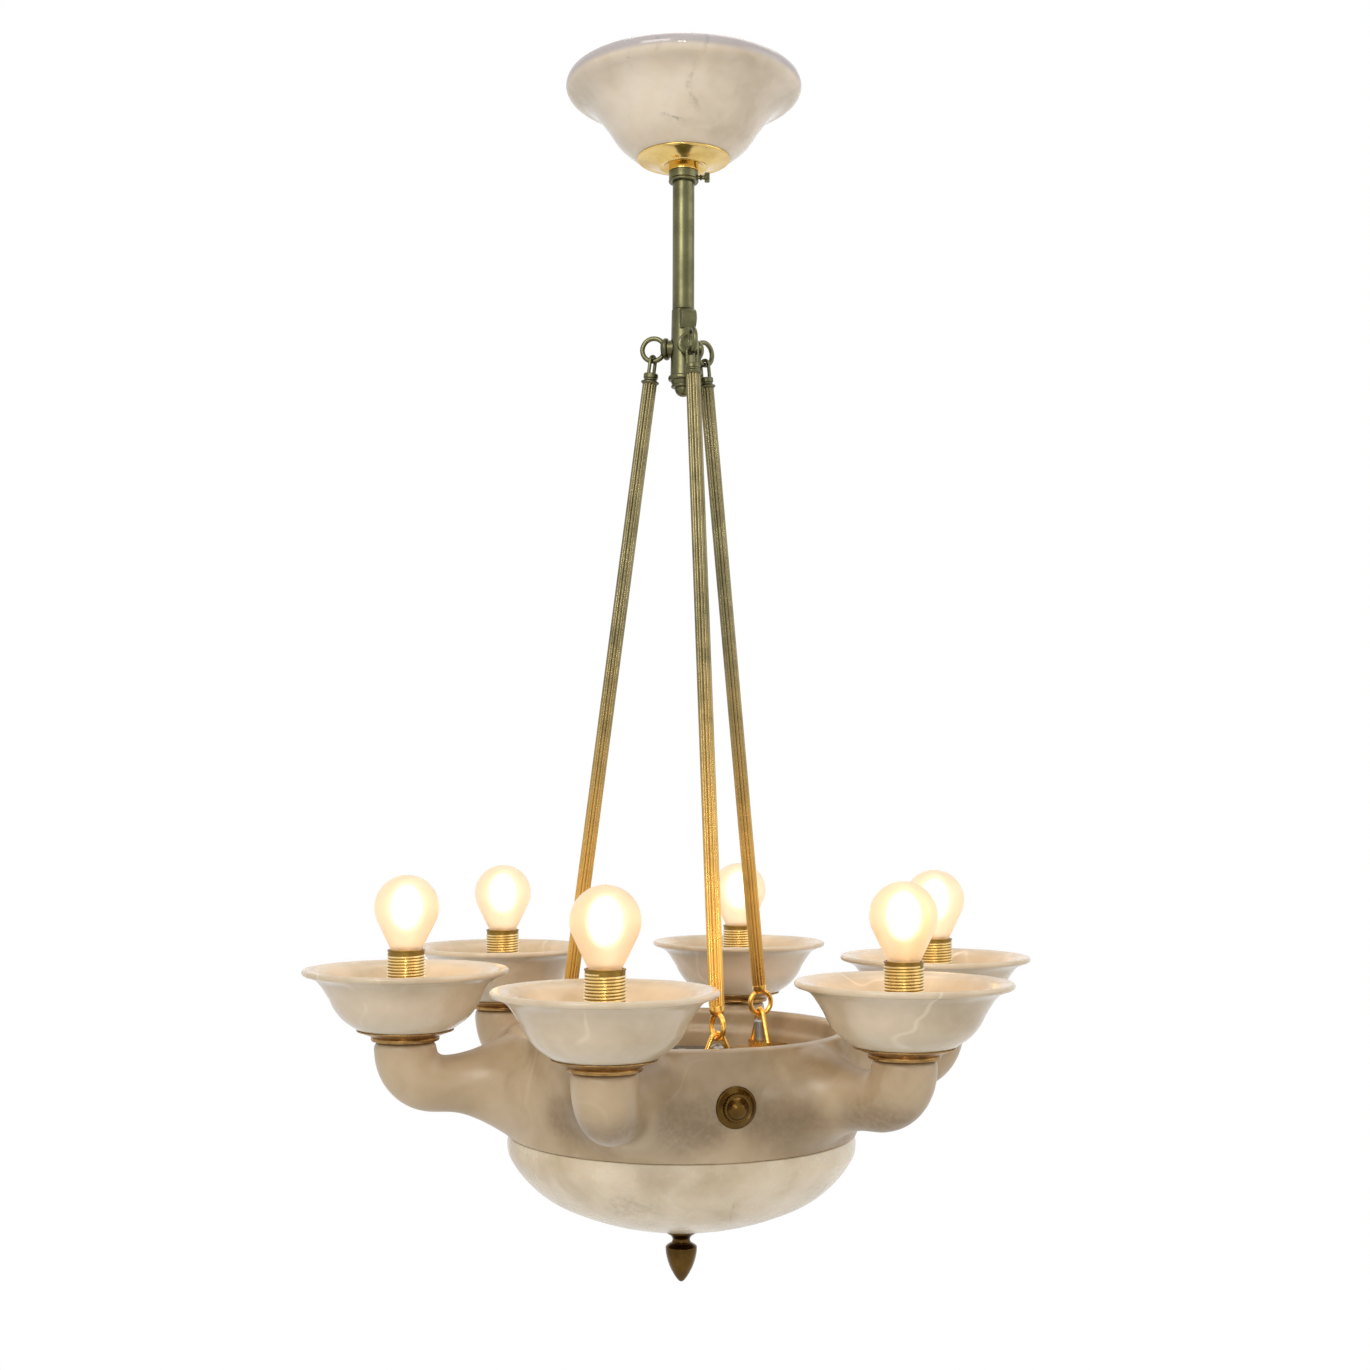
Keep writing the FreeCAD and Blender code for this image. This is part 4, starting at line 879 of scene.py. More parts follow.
# ---- sub-assemblies ------------------------------------------------------
@dataclass
class Canopy:
    """The alabaster canopy with its brass dish, slip collar and thumbscrew."""

    radius: float = 91.0
    lip: float = 7.6
    throat_r: float = 72.7
    throat: float = 24.6
    wall: float = 8.0
    dish_r: float = 35.4
    ring_r: float = 18.4
    neck_r: float = 11.45
    bore_r: float = 8.65
    collar_r: float = 11.6
    screw_turn: float = 73.7
    shank_r: float = 1.5
    head_r: float = 3.85

    def build(self) -> None:
        """Builds and dresses every piece of the canopy."""
        keep(self.shell(), Finish.CANOPY, "canopy", "alabaster", "canopy_bowl")
        keep(self.dish(), Finish.BRASS, "canopy", "polished_brass", "canopy_dish")
        keep(self.collar(), Finish.BRONZE, "canopy", "polished_brass", "canopy_collar")
        keep(self.thumbscrew(), Finish.BRONZE, "thumbscrew", "polished_brass", "canopy_thumbscrew")
        dress(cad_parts["canopy_ring_nut"], Finish.ZINC)

    def shell(self) -> bpy.types.Object:
        """Makes the turned stone: a rolled lip and an ogee that ends flat round the dish."""
        top, flat = high("canopy_bowl") - 0.1, low("canopy_bowl")
        r, throat, wall = self.radius, self.throat_r, self.wall
        inner = throat - wall
        floor = flat + wall
        hole = self.collar_r + 1.0
        return turned("canopy_shell", outline(
            (r - 11.5, top - 1.3),
            [(r - 8, top - 0.3), (r - 5, top), (r - 1.5, top - 2.2), (r, -self.lip), (r - 1.3, -self.lip - 4),
             (r - 5.2, -self.lip - 7.2), (r - 11.8, -self.lip - 10), (throat - 0.6, -self.throat + 1.8),
             (throat - 6.3, -self.throat - 4.6), (throat - 13.5, -self.throat - 14.2),
             (throat - 22, -self.throat - 26.5), (self.dish_r + 4.5, flat + 2.4), (self.dish_r + 0.4, flat)],
            (hole, flat), (hole, floor), (self.dish_r - 9, floor),
            [(self.dish_r, floor + 4.6), (inner - 17, -self.throat - 16), (inner - 5, -self.throat + 2),
             (r - 18, -9.5), (r - 11.5, top - 1.3)]), 160, 40)

    def dish(self) -> bpy.types.Object:
        """Makes the brass dish with its raised ring and its neck."""
        flat, end, top = low("canopy_bowl"), low("canopy_dish"), high("canopy_dish")
        under = flat - 7.1
        return turned("canopy_brass_dish", outline(
            (self.bore_r, top), (self.neck_r, top), (self.neck_r, flat), (self.dish_r - 0.2, flat),
            ((self.dish_r + 0.5, flat - 0.8), (self.dish_r, flat - 1.6)), (self.dish_r - 1.2, flat - 1.9),
            (self.dish_r - 1.8, flat - 1.7),
            [(self.dish_r - 6.5, flat - 2.5), (self.dish_r - 12, flat - 4.2), (self.ring_r + 1.2, under + 1)],
            ((self.ring_r + 0.4, under + 0.1), (self.ring_r - 0.6, under)), (self.ring_r - 2.6, under + 0.4),
            [(self.neck_r + 2, under + 2.2), (self.neck_r, under + 3.4)],
            (self.neck_r, end), (self.bore_r, end)), 128, 30)

    def collar(self) -> bpy.types.Object:
        """Makes the slip collar, with a rounded band at its foot."""
        foot, top = low("canopy_collar"), high("canopy_collar")
        r = self.collar_r
        return turned("canopy_slip_collar", outline(
            (self.bore_r, top - 0.05), (r - 0.7, top - 0.05), (r - 0.3, top - 0.5), (r - 0.3, foot + 2.7),
            (r - 0.6, foot + 2.4), ((r, foot + 1.3), (r - 0.6, foot)), (self.bore_r, foot)), 96, 30)

    def thumbscrew(self) -> bpy.types.Object:
        """Makes the thumbscrew: a slim shank and a flat head with a milled edge."""
        level = (low("canopy_collar") + high("canopy_collar")) / 2
        tip, head = 8.8, self.collar_r + 4.6
        end = head + 3.9
        shank = turned("canopy_thumb_screw", outline(
            (0, tip), (self.shank_r - 0.4, tip), (self.shank_r, tip + 0.4),
            (self.shank_r, self.collar_r + 0.9),
            [(self.shank_r + 0.9, self.collar_r + 1.6), (self.shank_r + 0.1, self.collar_r + 2.6)],
            (self.shank_r + 0.3, head + 0.3), (0, head + 0.3)), 32)
        face = milled("thumb_head", self.head_r, 0.25, 28, [(head, 0.86), (head + 0.5, 1.0), (end - 0.6, 1.0),
                                                            (end, 0.84)])
        return place(join([shank, face]), at_turn(self.screw_turn) @ laid(level))


def milled(name: str, radius: float, depth: float, ribs: int, levels: list[Pair]) -> bpy.types.Object:
    """Makes a round with a milled edge, about Z.

    Args:
        name: The piece's name.
        radius: Over the ribs, in mm.
        depth: How deep the grooves are, in mm.
        ribs: Their number.
        levels: Height in mm and share of the radius at each level, from the foot up.

    Returns:
        The closed piece.
    """
    (first, share), rest = levels[0], levels[1:]
    piece = hoop(name, radius - depth, Vector((0, 0, first)), Vector((0, 0, 1)), 4 * ribs)
    bpy.ops.mesh.select_mode(type="VERT")
    bpy.ops.mesh.select_all(action="DESELECT")
    bpy.ops.object.mode_set(mode="OBJECT")
    for k, vertex in enumerate(piece.data.vertices):
        vertex.select = k % 4 in (1, 2)  # the two of each four that stand on a rib
    bpy.ops.object.mode_set(mode="EDIT")
    grow = radius / (radius - depth)
    resize((grow, grow, 1), Vector((0, 0, first)))
    bpy.ops.mesh.select_all(action="SELECT")
    resize((share, share, 1), Vector((0, 0, first)))
    here = first
    for level, wide in rest:
        draw_out(Vector((0, 0, level - here)))
        resize((wide / share, wide / share, 1), Vector((0, 0, level)))
        here, share = level, wide
    return close(piece, 30, fill=True)


@dataclass
class Stem:
    """The stem and the hub with its pad, three ring eyes and turned cap."""

    radius: float = 8.4
    bore_r: float = 5.0
    spigot_r: float = 6.5
    shoulder: float = -14.0
    hub_top_r: float = 8.9
    hub_foot_r: float = 9.8
    pad_width: float = 12.5
    pad_reach: float = 11.3
    pad_length: float = 16.6
    pad_turn: float = 10.0
    cap_r: float = 11.5
    ball_r: float = 6.9
    eye_reach: float = ROD_REACH
    eye_hole_r: float = 6.9
    wire_r: float = 1.9
    boss_r: float = 8.1
    boss_neck_r: float = 6.7

    def build(self) -> None:
        """Builds and dresses stem and hub."""
        keep(self.tube(), Finish.BRONZE, "stem", "aged_bronze", "stem_tube")
        keep(self.hub(), Finish.BRONZE, "stem", "aged_bronze", "hub_body")
        keep(self.cap(), Finish.BRONZE, "stem", "aged_bronze", "hub_cap")
        names = ["hub_ring_eye_%d" % k for k in (1, 2, 3)]
        for k, eye in enumerate(copies(self.eye(), names, ROD_TURNS), 1):
            keep(eye, Finish.BRONZE, "stem", "aged_bronze", "hub_eye_%d" % k)
        dress(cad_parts["ceiling_bracket"], Finish.ZINC)
        dress(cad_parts["stem_nut"], Finish.ZINC)

    def tube(self) -> bpy.types.Object:
        """Makes the stem with its turned-down, threaded top end."""
        top, foot, r = high("stem_tube"), low("stem_tube"), self.spigot_r
        thread = []
        level = top - 0.8
        while level > self.shoulder + 1.5:
            thread += [(r, level), (r - 0.35, level - 0.5), (r, level - 1.0)]
            level -= 1.0
        return turned("stem_bronze_tube", outline(
            (self.bore_r, top), (r - 0.8, top), *thread, (r, self.shoulder),
            (self.radius - 0.3, self.shoulder),
            (self.radius, self.shoulder - 0.3), (self.radius, foot + 0.35), (self.radius - 0.35, foot),
            (self.bore_r, foot)), 96, 30)

    def hub(self) -> bpy.types.Object:
        """Makes the tapered hub with the rounded pad on its front."""
        top, foot = high("hub_body"), low("hub_body")
        core = turned("hub_bronze_body", outline(
            (0, top), (self.hub_top_r - 0.5, top), (self.hub_top_r, top - 0.5),
            (self.hub_foot_r, foot), (0, foot)), 128, 30)
        return join([core, place(self.pad(top), at_turn(self.pad_turn))])

    def pad(self, top: float) -> bpy.types.Object:
        """Makes the rounded pad along +X: its profile is drawn point by point, filled and thickened.

        Args:
            top: The level of the hub's top.

        Returns:
            The closed piece.
        """
        r, reach, length = self.hub_top_r, self.pad_reach, self.pad_length
        grow, start = reach - r, (r - 0.24, top - 0.7)
        profile = through([start, (r + 0.62 * grow, top - 0.145 * length), (reach, top - 0.36 * length),
                           (r + 0.88 * grow, top - 0.66 * length), (r - 0.17 * grow, top - length)])
        points = [(r / 2, top - 0.7), start] + profile + [(r / 2, top - length)]
        piece = chain("hub_pad", [(x, -self.pad_width / 2, z) for x, z in points])
        bpy.ops.mesh.edge_face_add()
        draw_out(Vector((0, self.pad_width, 0)))
        bpy.ops.mesh.select_all(action="SELECT")
        close(piece, 30)
        apply_modifier(piece, "BEVEL", width=0.9 * MM, segments=3, limit_method="ANGLE",
                       angle_limit=math.radians(50))
        return close(piece, 30)

    def cap(self) -> bpy.types.Object:
        """Makes the turned cap: a moulded collar, a lower ring and a ball."""
        top, foot, r, ball = high("hub_cap"), low("hub_cap"), self.cap_r, self.ball_r
        diagonal = ball * math.sqrt(0.5)
        return turned("hub_turned_cap", outline(
            (0, top), (r - 1.6, top), ((r - 0.2, top - 0.7), (r, top - 2)),
            ((r - 0.2, top - 3.2), (r - 1.2, top - 3.9)), (r - 1.9, top - 4.1), (r - 3, top - 7.2),
            ((r - 2.2, top - 8.2), (r - 3.2, top - 9.3)), (ball - 0.5, top - 9.4),
            ((diagonal, foot + ball - diagonal), (0, foot))), 96, 28)

    def eye(self) -> bpy.types.Object:
        """Makes a stepped boss along +X and the ring at its end."""
        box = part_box("hub_eye_1")
        level = (box[0].z + box[1].z) / 2 / MM
        start, end = self.hub_foot_r, self.eye_reach - self.eye_hole_r
        neck, r = self.boss_neck_r, self.boss_r
        boss = turned("eye_boss", outline(
            (0, start - 3), (neck, start - 3), (neck, start + 1.4), (r, start + 2.2),
            ((r + 0.4, start + 3.6), (r, start + 5)), [(neck + 0.1, start + 5.6), (neck - 0.6, end - 0.1)],
            (0, end - 0.1)), 64, 30)
        place(boss, laid(level))
        loop = ring("eye_ring", self.eye_hole_r + self.wire_r, self.wire_r,
                    Vector((self.eye_reach, 0, level)), Vector((0, 1, 0)))
        return weld(boss, loop)


@dataclass
class Rods:
    """The three reeded rods, each with its loop and neck on top and its ferrule and ring below."""

    radius: float = 5.5
    reeds: int = 12
    reed_rise: float = 0.8
    wire_r: float = 1.4
    half: float = 4.0
    neck_r: float = 5.65
    flare_r: float = 6.85
    neck_top: float = 13.4
    neck_end: float = 22.0
    ferrule_r: float = 5.35
    ferrule_rise: float = 14.0
    ring_hole_r: float = 6.9
    ring_wire_r: float = 1.9
    loop_twists: tuple[float, ...] = (0.0, 0.0, -14.0)

    def build(self) -> None:
        """Builds and dresses the rods."""
        start = high("rod_loop_1") - self.wire_r
        hung = upright(ROD_REACH, z=start) @ Matrix.Rotation(-ROD_LEAN, 4, "Y")
        for k, turn in enumerate(ROD_TURNS):
            spot = at_turn(turn) @ hung
            loop_twist = Matrix.Rotation(math.radians(self.loop_twists[k]), 4, "Z")
            ring_twist = Matrix.Rotation(math.radians(RING_TWISTS[k]), 4, "Z")
            body, number = "rod_%d" % (k + 1), k + 1
            for piece, finish, node in (
                    (place(self.loop(number), spot @ loop_twist), Finish.BRONZE, "rod_loop_%d"),
                    (place(self.tube(number), spot), Finish.ROD, "rod_tube_%d"),
                    (place(self.foot(number), spot @ ring_twist), Finish.HANGER, "rod_ring_%d")):
                keep(piece, finish, body, "aged_bronze", node % number)

    def loop(self, number: int) -> bpy.types.Object:
        """Makes the closed loop and the turned neck under it, hanging from the origin.

        Args:
            number: The rod's number.

        Returns:
            The closed piece.
        """
        foot, half = -self.neck_top - 1.5, self.half
        wire = hoop("loop_wire", self.wire_r, Vector((0, -half, foot)), Vector((0, 0, 1)))
        draw_out(Vector((0, 0, -half - foot)))
        bend(-180, Vector((0, 0, -half)), Vector((1, 0, 0)), 24)
        draw_out(Vector((0, 0, foot + half)))
        close(wire, 35, fill=True)
        r, flare, low_end = self.neck_r, self.flare_r, -self.neck_top
        neck = turned("rod_%d_loop_and_neck" % number, outline(
            (0, low_end), (r - 0.9, low_end), ((r - 0.2, low_end - 0.4), (r, low_end - 1.4)),
            (r, low_end - 3.6), ((r - 0.7, low_end - 4.6), (r - 0.2, low_end - 5.6)), (flare, low_end - 6.4),
            ((flare + 0.15, low_end - 6.9), (flare, low_end - 7.4)), (self.radius + 0.1, -self.neck_end),
            (0, -self.neck_end)), 64, 30)
        return weld(neck, wire)

    def tube(self, number: int) -> bpy.types.Object:
        """Makes the reeded tube: one reed, repeated round the axis and drawn down.

        Args:
            number: The rod's number.

        Returns:
            The closed piece.
        """
        foot = self.ferrule_rise - ROD_LENGTH
        valley = self.radius - self.reed_rise
        wedge = math.tau / self.reeds
        ends = [(valley * math.cos(a), valley * math.sin(a)) for a in (0, wedge)]
        crest = (self.radius * math.cos(wedge / 2), self.radius * math.sin(wedge / 2))
        reed = [ends[0]] + round_through(ends[0], crest, ends[1])
        piece = chain("rod_%d_reeded_tube" % number, [(x, y, -self.neck_end) for x, y in reed])
        bpy.ops.mesh.spin(steps=self.reeds, angle=math.tau, center=(0, 0, 0), axis=(0, 0, 1), dupli=True)
        bpy.ops.mesh.select_all(action="SELECT")
        bpy.ops.mesh.remove_doubles(threshold=1e-5)
        bpy.ops.mesh.select_all(action="SELECT")
        draw_out(Vector((0, 0, foot + self.neck_end)))
        return close(piece, 30, fill=True)

    def foot(self, number: int) -> bpy.types.Object:
        """Makes the ferrule and the round ring at the rod's foot.

        Args:
            number: The rod's number.

        Returns:
            The closed piece.
        """
        middle, r, hole = -ROD_LENGTH, self.ferrule_r, self.ring_hole_r
        top = middle + self.ferrule_rise
        ferrule = turned("rod_%d_ferrule_and_ring" % number, outline(
            (0, top), (r - 0.3, top), (r, top - 0.4),
            (r, middle + hole + 4), [(r - 0.6, middle + hole + 2.2), (r - 1.9, middle + hole + 0.9)],
            (0, middle + hole + 0.9)), 64, 30)
        loop = ring("foot_ring", hole + self.ring_wire_r, self.ring_wire_r, Vector((0, 0, middle)),
                    Vector((0, 1, 0)))
        return weld(ferrule, loop)


@dataclass
class Hangers:
    """Bails and knurled nuts in the bowl, and the rosettes on their through-bolts."""

    arc_r: float = 4.8
    wire_r: float = 1.75
    lean: float = 24.0
    foot_width: float = 9.0
    foot_thick: float = 3.0
    knurl_r: float = 4.9
    ring_r: float = 8.8
    rosette_r: float = 14.25
    ball_r: float = 8.85
    ball_out: float = 9.6
    disc_back: float = 131.15
    bolt_drop: float = 38.2

    def build(self) -> None:
        """Builds and dresses the hangers; the straps stay as the frame has them."""
        strap_top = low("hanger_bails")
        bails, nuts = [], []
        for k, turn in enumerate(ROD_TURNS):
            spot = at_turn(turn) @ self.hanging(math.radians(RING_TWISTS[k]))
            bails.append(place(self.bail(strap_top), spot))
            nuts.append(place(self.nut(strap_top), spot))
        keep(join(bails), Finish.HANGER, "bowl", "polished_brass", "hanger_bails").name = "hanger_brass_bails"
        keep(join(nuts), Finish.NICKEL, "bowl", "zinc_steel").name = "hanger_knurled_nuts"
        rosettes = copies(self.rosette(), ["rosette_%d" % k for k in (1, 2, 3)], ROD_TURNS)
        for k, rosette in enumerate(rosettes):
            keep(rosette, Finish.DARK_BRONZE, "bowl", "aged_bronze", *(["rosettes"] if k == 0 else []))
        dress(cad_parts["hanger_brackets"], Finish.BRASS)
        dress(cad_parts["hanger_nuts"], Finish.ZINC)

    def hanging(self, twist: float) -> Matrix:
        """Returns the place below the lowest wire of a rod's ring, which a twist moves aside.

        Args:
            twist: How far the ring stands turned, in radians.

        Returns:
            The place, for what is made about the origin.
        """
        aside = -self.ring_r * math.sin(ROD_LEAN) * math.sin(twist)
        spot = upright(ROD_HANG - aside * math.sin(twist), aside * math.cos(twist))
        return spot @ Matrix.Rotation(twist, 4, "Z")

    def bail(self, strap_top: float) -> bpy.types.Object:
        """Makes a bail about the origin: a leaning wire, bent over the top, on a rounded foot.

        Args:
            strap_top: The level of the strap that it stands on.

        Returns:
            The closed piece.
        """
        lean, top = math.radians(self.lean), high("hanger_bails") - self.wire_r
        centre = top - self.arc_r
        side, shoulder = self.arc_r * math.cos(lean), centre + self.arc_r * math.sin(lean)
        start = strap_top + self.foot_thick / 2
        end = side + (shoulder - start) * math.tan(lean)
        leg = Vector((0, end - side, shoulder - start))
        wire = hoop("bail_wire", self.wire_r, Vector((0, -end, start)), leg.normalized())
        draw_out(leg)
        bend(-(180 - 2 * self.lean), Vector((0, 0, centre)), Vector((1, 0, 0)), 20)
        draw_out(Vector((0, leg.y, -leg.z)))
        close(wire, 35, fill=True)
        half = end + self.wire_r - self.foot_width / 2
        foot = hoop("bail_foot", self.foot_width / 2, Vector((0, 0, strap_top)), Vector((0, 0, 1)), 48)
        for sign in (-1, 1):
            bpy.ops.object.mode_set(mode="OBJECT")
            bpy.ops.object.transform_apply()
            bpy.ops.object.mode_set(mode="EDIT")
            select_where(foot, lambda spot, s=sign: s * spot.y > 0.01)
            bpy.ops.transform.translate(value=(0, sign * half * MM, 0))
        bpy.ops.mesh.select_all(action="SELECT")
        bpy.ops.mesh.edge_face_add()
        draw_out(Vector((0, 0, self.foot_thick)))
        close(foot, 30)
        return join([foot, wire])

    def nut(self, strap_top: float) -> bpy.types.Object:
        """Makes the tall knurled nut with its domed top.

        Args:
            strap_top: The level of the strap under the bail.

        Returns:
            The closed piece.
        """
        foot, top = strap_top + self.foot_thick, high("hanger_nuts")
        return milled("hanger_nut", self.knurl_r, 0.45, 22, [
            (foot, 0.9), (foot + 0.4, 1.0), (top - 2.6, 1.0), (top - 1.6, 0.86), (top - 0.6, 0.55),
            (top, 0.2)])

    def rosette(self) -> bpy.types.Object:
        """Makes a rosette along +X: a moulded disc, a milled collar and a ball."""
        level = high("bowl_dome") + BOWL_DEPTH - self.bolt_drop
        back, r, ball = self.disc_back, self.rosette_r, self.ball_r
        middle = back + self.ball_out - ball
        disc = turned("rosette", outline(
            (0, back - 0.6), (r - 0.5, back - 0.6), (r, back), ((r + 0.05, back + 1), (r - 0.8, back + 1.8)),
            (r - 1.3, back + 1.8), ((r - 3, back + 3.1), (ball + 1.5, back + 3.8)), (ball + 0.9, back + 3.5),
            (ball - 0.3, back + 3.5), *round_through(
                (ball * 0.97, middle + ball * 0.24), (ball * 0.72, middle + ball * 0.69),
                (0, middle + ball), 14)), 96, 28)
        collar = milled("rosette_collar", ball + 0.8, 0.4, 30,
                        [(back + 2.6, 1.0), (back + 4.3, 1.0), (back + 4.8, 0.95)])
        return place(join([disc, collar]), laid(level))


@dataclass
class Bowl:
    """The alabaster bowl ring with its six carved arms, one smooth piece of stone."""

    rim_r: float = 129.8
    belly_r: float = 132.2
    foot_r: float = 130.4
    wall: float = 13.0
    band: float = 13.8
    step: float = 2.8
    round: float = 2.6
    joint_r: float = 181.3
    waist_r: float = 20.1
    waist_drop: float = 34.5
    neck_r: float = 22.85
    crotch_r: float = 2.5
    voxel: float = 1.6
    # inwards from the joint, half width, top over and bottom under the waist's
    flare: tuple[tuple[float, float, float, float], ...] = (
        (60, 52, 13.6, 21.0), (54, 48.5, 13.6, 20.0), (48, 43, 12.6, 17.8), (37, 31.5, 8.5, 11.2),
        (25, 24.5, 4.0, 5.2), (12.5, 20.9, 1.1, 0.9), (0, 20.1, 0, 0))

    def build(self) -> None:
        """Builds and dresses the bowl."""
        piece = self.stone()
        arms = ["bowl_arm_%d" % k for k in range(1, 7)]
        keep(piece, Finish.BOWL, "bowl", "alabaster", "bowl_drum", *arms)

    def stone(self) -> bpy.types.Object:
        """Joins ring and arms, remeshes them as one stone and smooths where they meet."""
        foot = high("bowl_dome")
        rim = foot + BOWL_DEPTH
        body = self.ring(foot, rim)
        arms = copies(self.arm(rim, low("cup_plates")), ["arm_%d" % k for k in range(6)], ARM_TURNS)
        piece = join([body] + arms)
        apply_modifier(piece, "REMESH", mode="VOXEL", voxel_size=self.voxel * MM)
        edit(piece)
        bpy.ops.mesh.vertices_smooth(factor=0.5, repeat=4)
        select_where(piece, lambda spot: self.meets(spot, foot, rim))
        bpy.ops.mesh.vertices_smooth(factor=0.5, repeat=30)
        bpy.ops.object.mode_set(mode="OBJECT")
        bpy.ops.object.shade_smooth()
        piece.name = piece.data.name = "bowl_with_arms"
        return piece

    def meets(self, spot: Vector, foot: float, rim: float) -> bool:
        """Tells whether a place lies on the arms or where they flow into the wall.

        Args:
            spot: The place, in mm.
            foot: The level of the bowl ring's foot.
            rim: The level of its rim.

        Returns:
            Whether it is smoothed most.
        """
        out = math.hypot(spot.x, spot.y)
        return out > self.belly_r + 4 or out > self.rim_r - 5 and foot + 3 < spot.z < rim - 3

    def ring(self, foot: float, rim: float) -> bpy.types.Object:
        """Makes the bowl ring: a bellied wall with a step inside below its rim band.

        Args:
            foot: The level of its foot.
            rim: The level of its rim.

        Returns:
            The closed piece.
        """
        depth = rim - foot
        band_r = self.rim_r - self.wall
        wall_r = band_r - self.step
        return turned("bowl_ring", outline(
            (band_r + self.round / 2, rim), (self.rim_r - self.round, rim),
            ((self.rim_r - 0.7, rim - 0.8), (self.rim_r, rim - self.round)),
            [(self.belly_r - 0.3, rim - 0.35 * depth), (self.belly_r, rim - 0.5 * depth),
             (self.belly_r - 0.3, rim - 0.72 * depth), (self.foot_r, foot)],
            (wall_r, foot), (wall_r, rim - self.band - self.step), (band_r, rim - self.band),
            (band_r, rim - self.round / 2)), 192)

    def arm(self, rim: float, top: float) -> bpy.types.Object:
        """Makes an arm along +X: rounds drawn from the wall to the waist, up the elbow and the neck.

        Args:
            rim: The level of the bowl's rim.
            top: The level of the arm's top, under its brass plate.

        Returns:
            The closed piece.
        """
        waist = rim - self.waist_drop
        sections = [self.flare[0]] + through(list(self.flare), 3)
        inward, half, rise, fall = sections[0]
        piece = hoop("arm", self.waist_r, Vector((self.joint_r - inward, 0, waist)), Vector((1, 0, 0)), 64)
        wide, tall, level, spot = self.waist_r, self.waist_r, waist, self.joint_r - inward
        for inward, half, rise, fall in sections:
            height = self.waist_r + (rise + fall) / 2
            middle = waist + (rise - fall) / 2
            if self.joint_r - inward > spot:
                draw_out(Vector((self.joint_r - inward - spot, 0, middle - level)))
            else:
                bpy.ops.transform.translate(value=(0, 0, (middle - level) * MM))
            spot, level = self.joint_r - inward, middle
            resize((1, half / wide, height / tall), Vector((spot, 0, level)))
            wide, tall = half, height
        self.elbow(waist, top)
        return close(piece, 35, fill=True)

    def elbow(self, waist: float, top: float, steps: int = 8) -> None:
        """Swings the last round up about the crotch and draws the neck out of it.

        Args:
            waist: The level of the arm's middle at the elbow's start.
            top: The level of the neck's top.
            steps: The elbow's stretches.
        """
        crotch = Vector((self.joint_r, 0, waist + self.waist_r + self.crotch_r))
        grown = ARM_REACH - self.joint_r - self.crotch_r
        radius = self.waist_r
        for k in range(1, steps + 1):
            draw_out(Vector((0, 0, 0)))
            bpy.ops.transform.rotate(value=math.radians(90 / steps), orient_axis="Y",
                                     center_override=crotch * MM)
            swing = math.radians(90 * k / steps)
            centre = crotch + (self.crotch_r + radius) * Vector((math.sin(swing), 0, -math.cos(swing)))
            wider = self.waist_r + (grown - self.waist_r) * k / steps
            resize((wider / radius,) * 3, centre)
            outwards = Vector((math.sin(swing), 0, -math.cos(swing))) * (wider - radius)
            bpy.ops.transform.translate(value=outwards * MM)
            radius = wider
        middle = (crotch.z + top) / 2
        for level, share in ((middle, self.neck_r / radius), (top - 1, 1.0), (top, 1 - 1 / self.neck_r)):
            draw_out(Vector((0, 0, level - crotch.z)))
            crotch.z = level
            resize((share, share, 1), Vector((ARM_REACH, 0, level)))


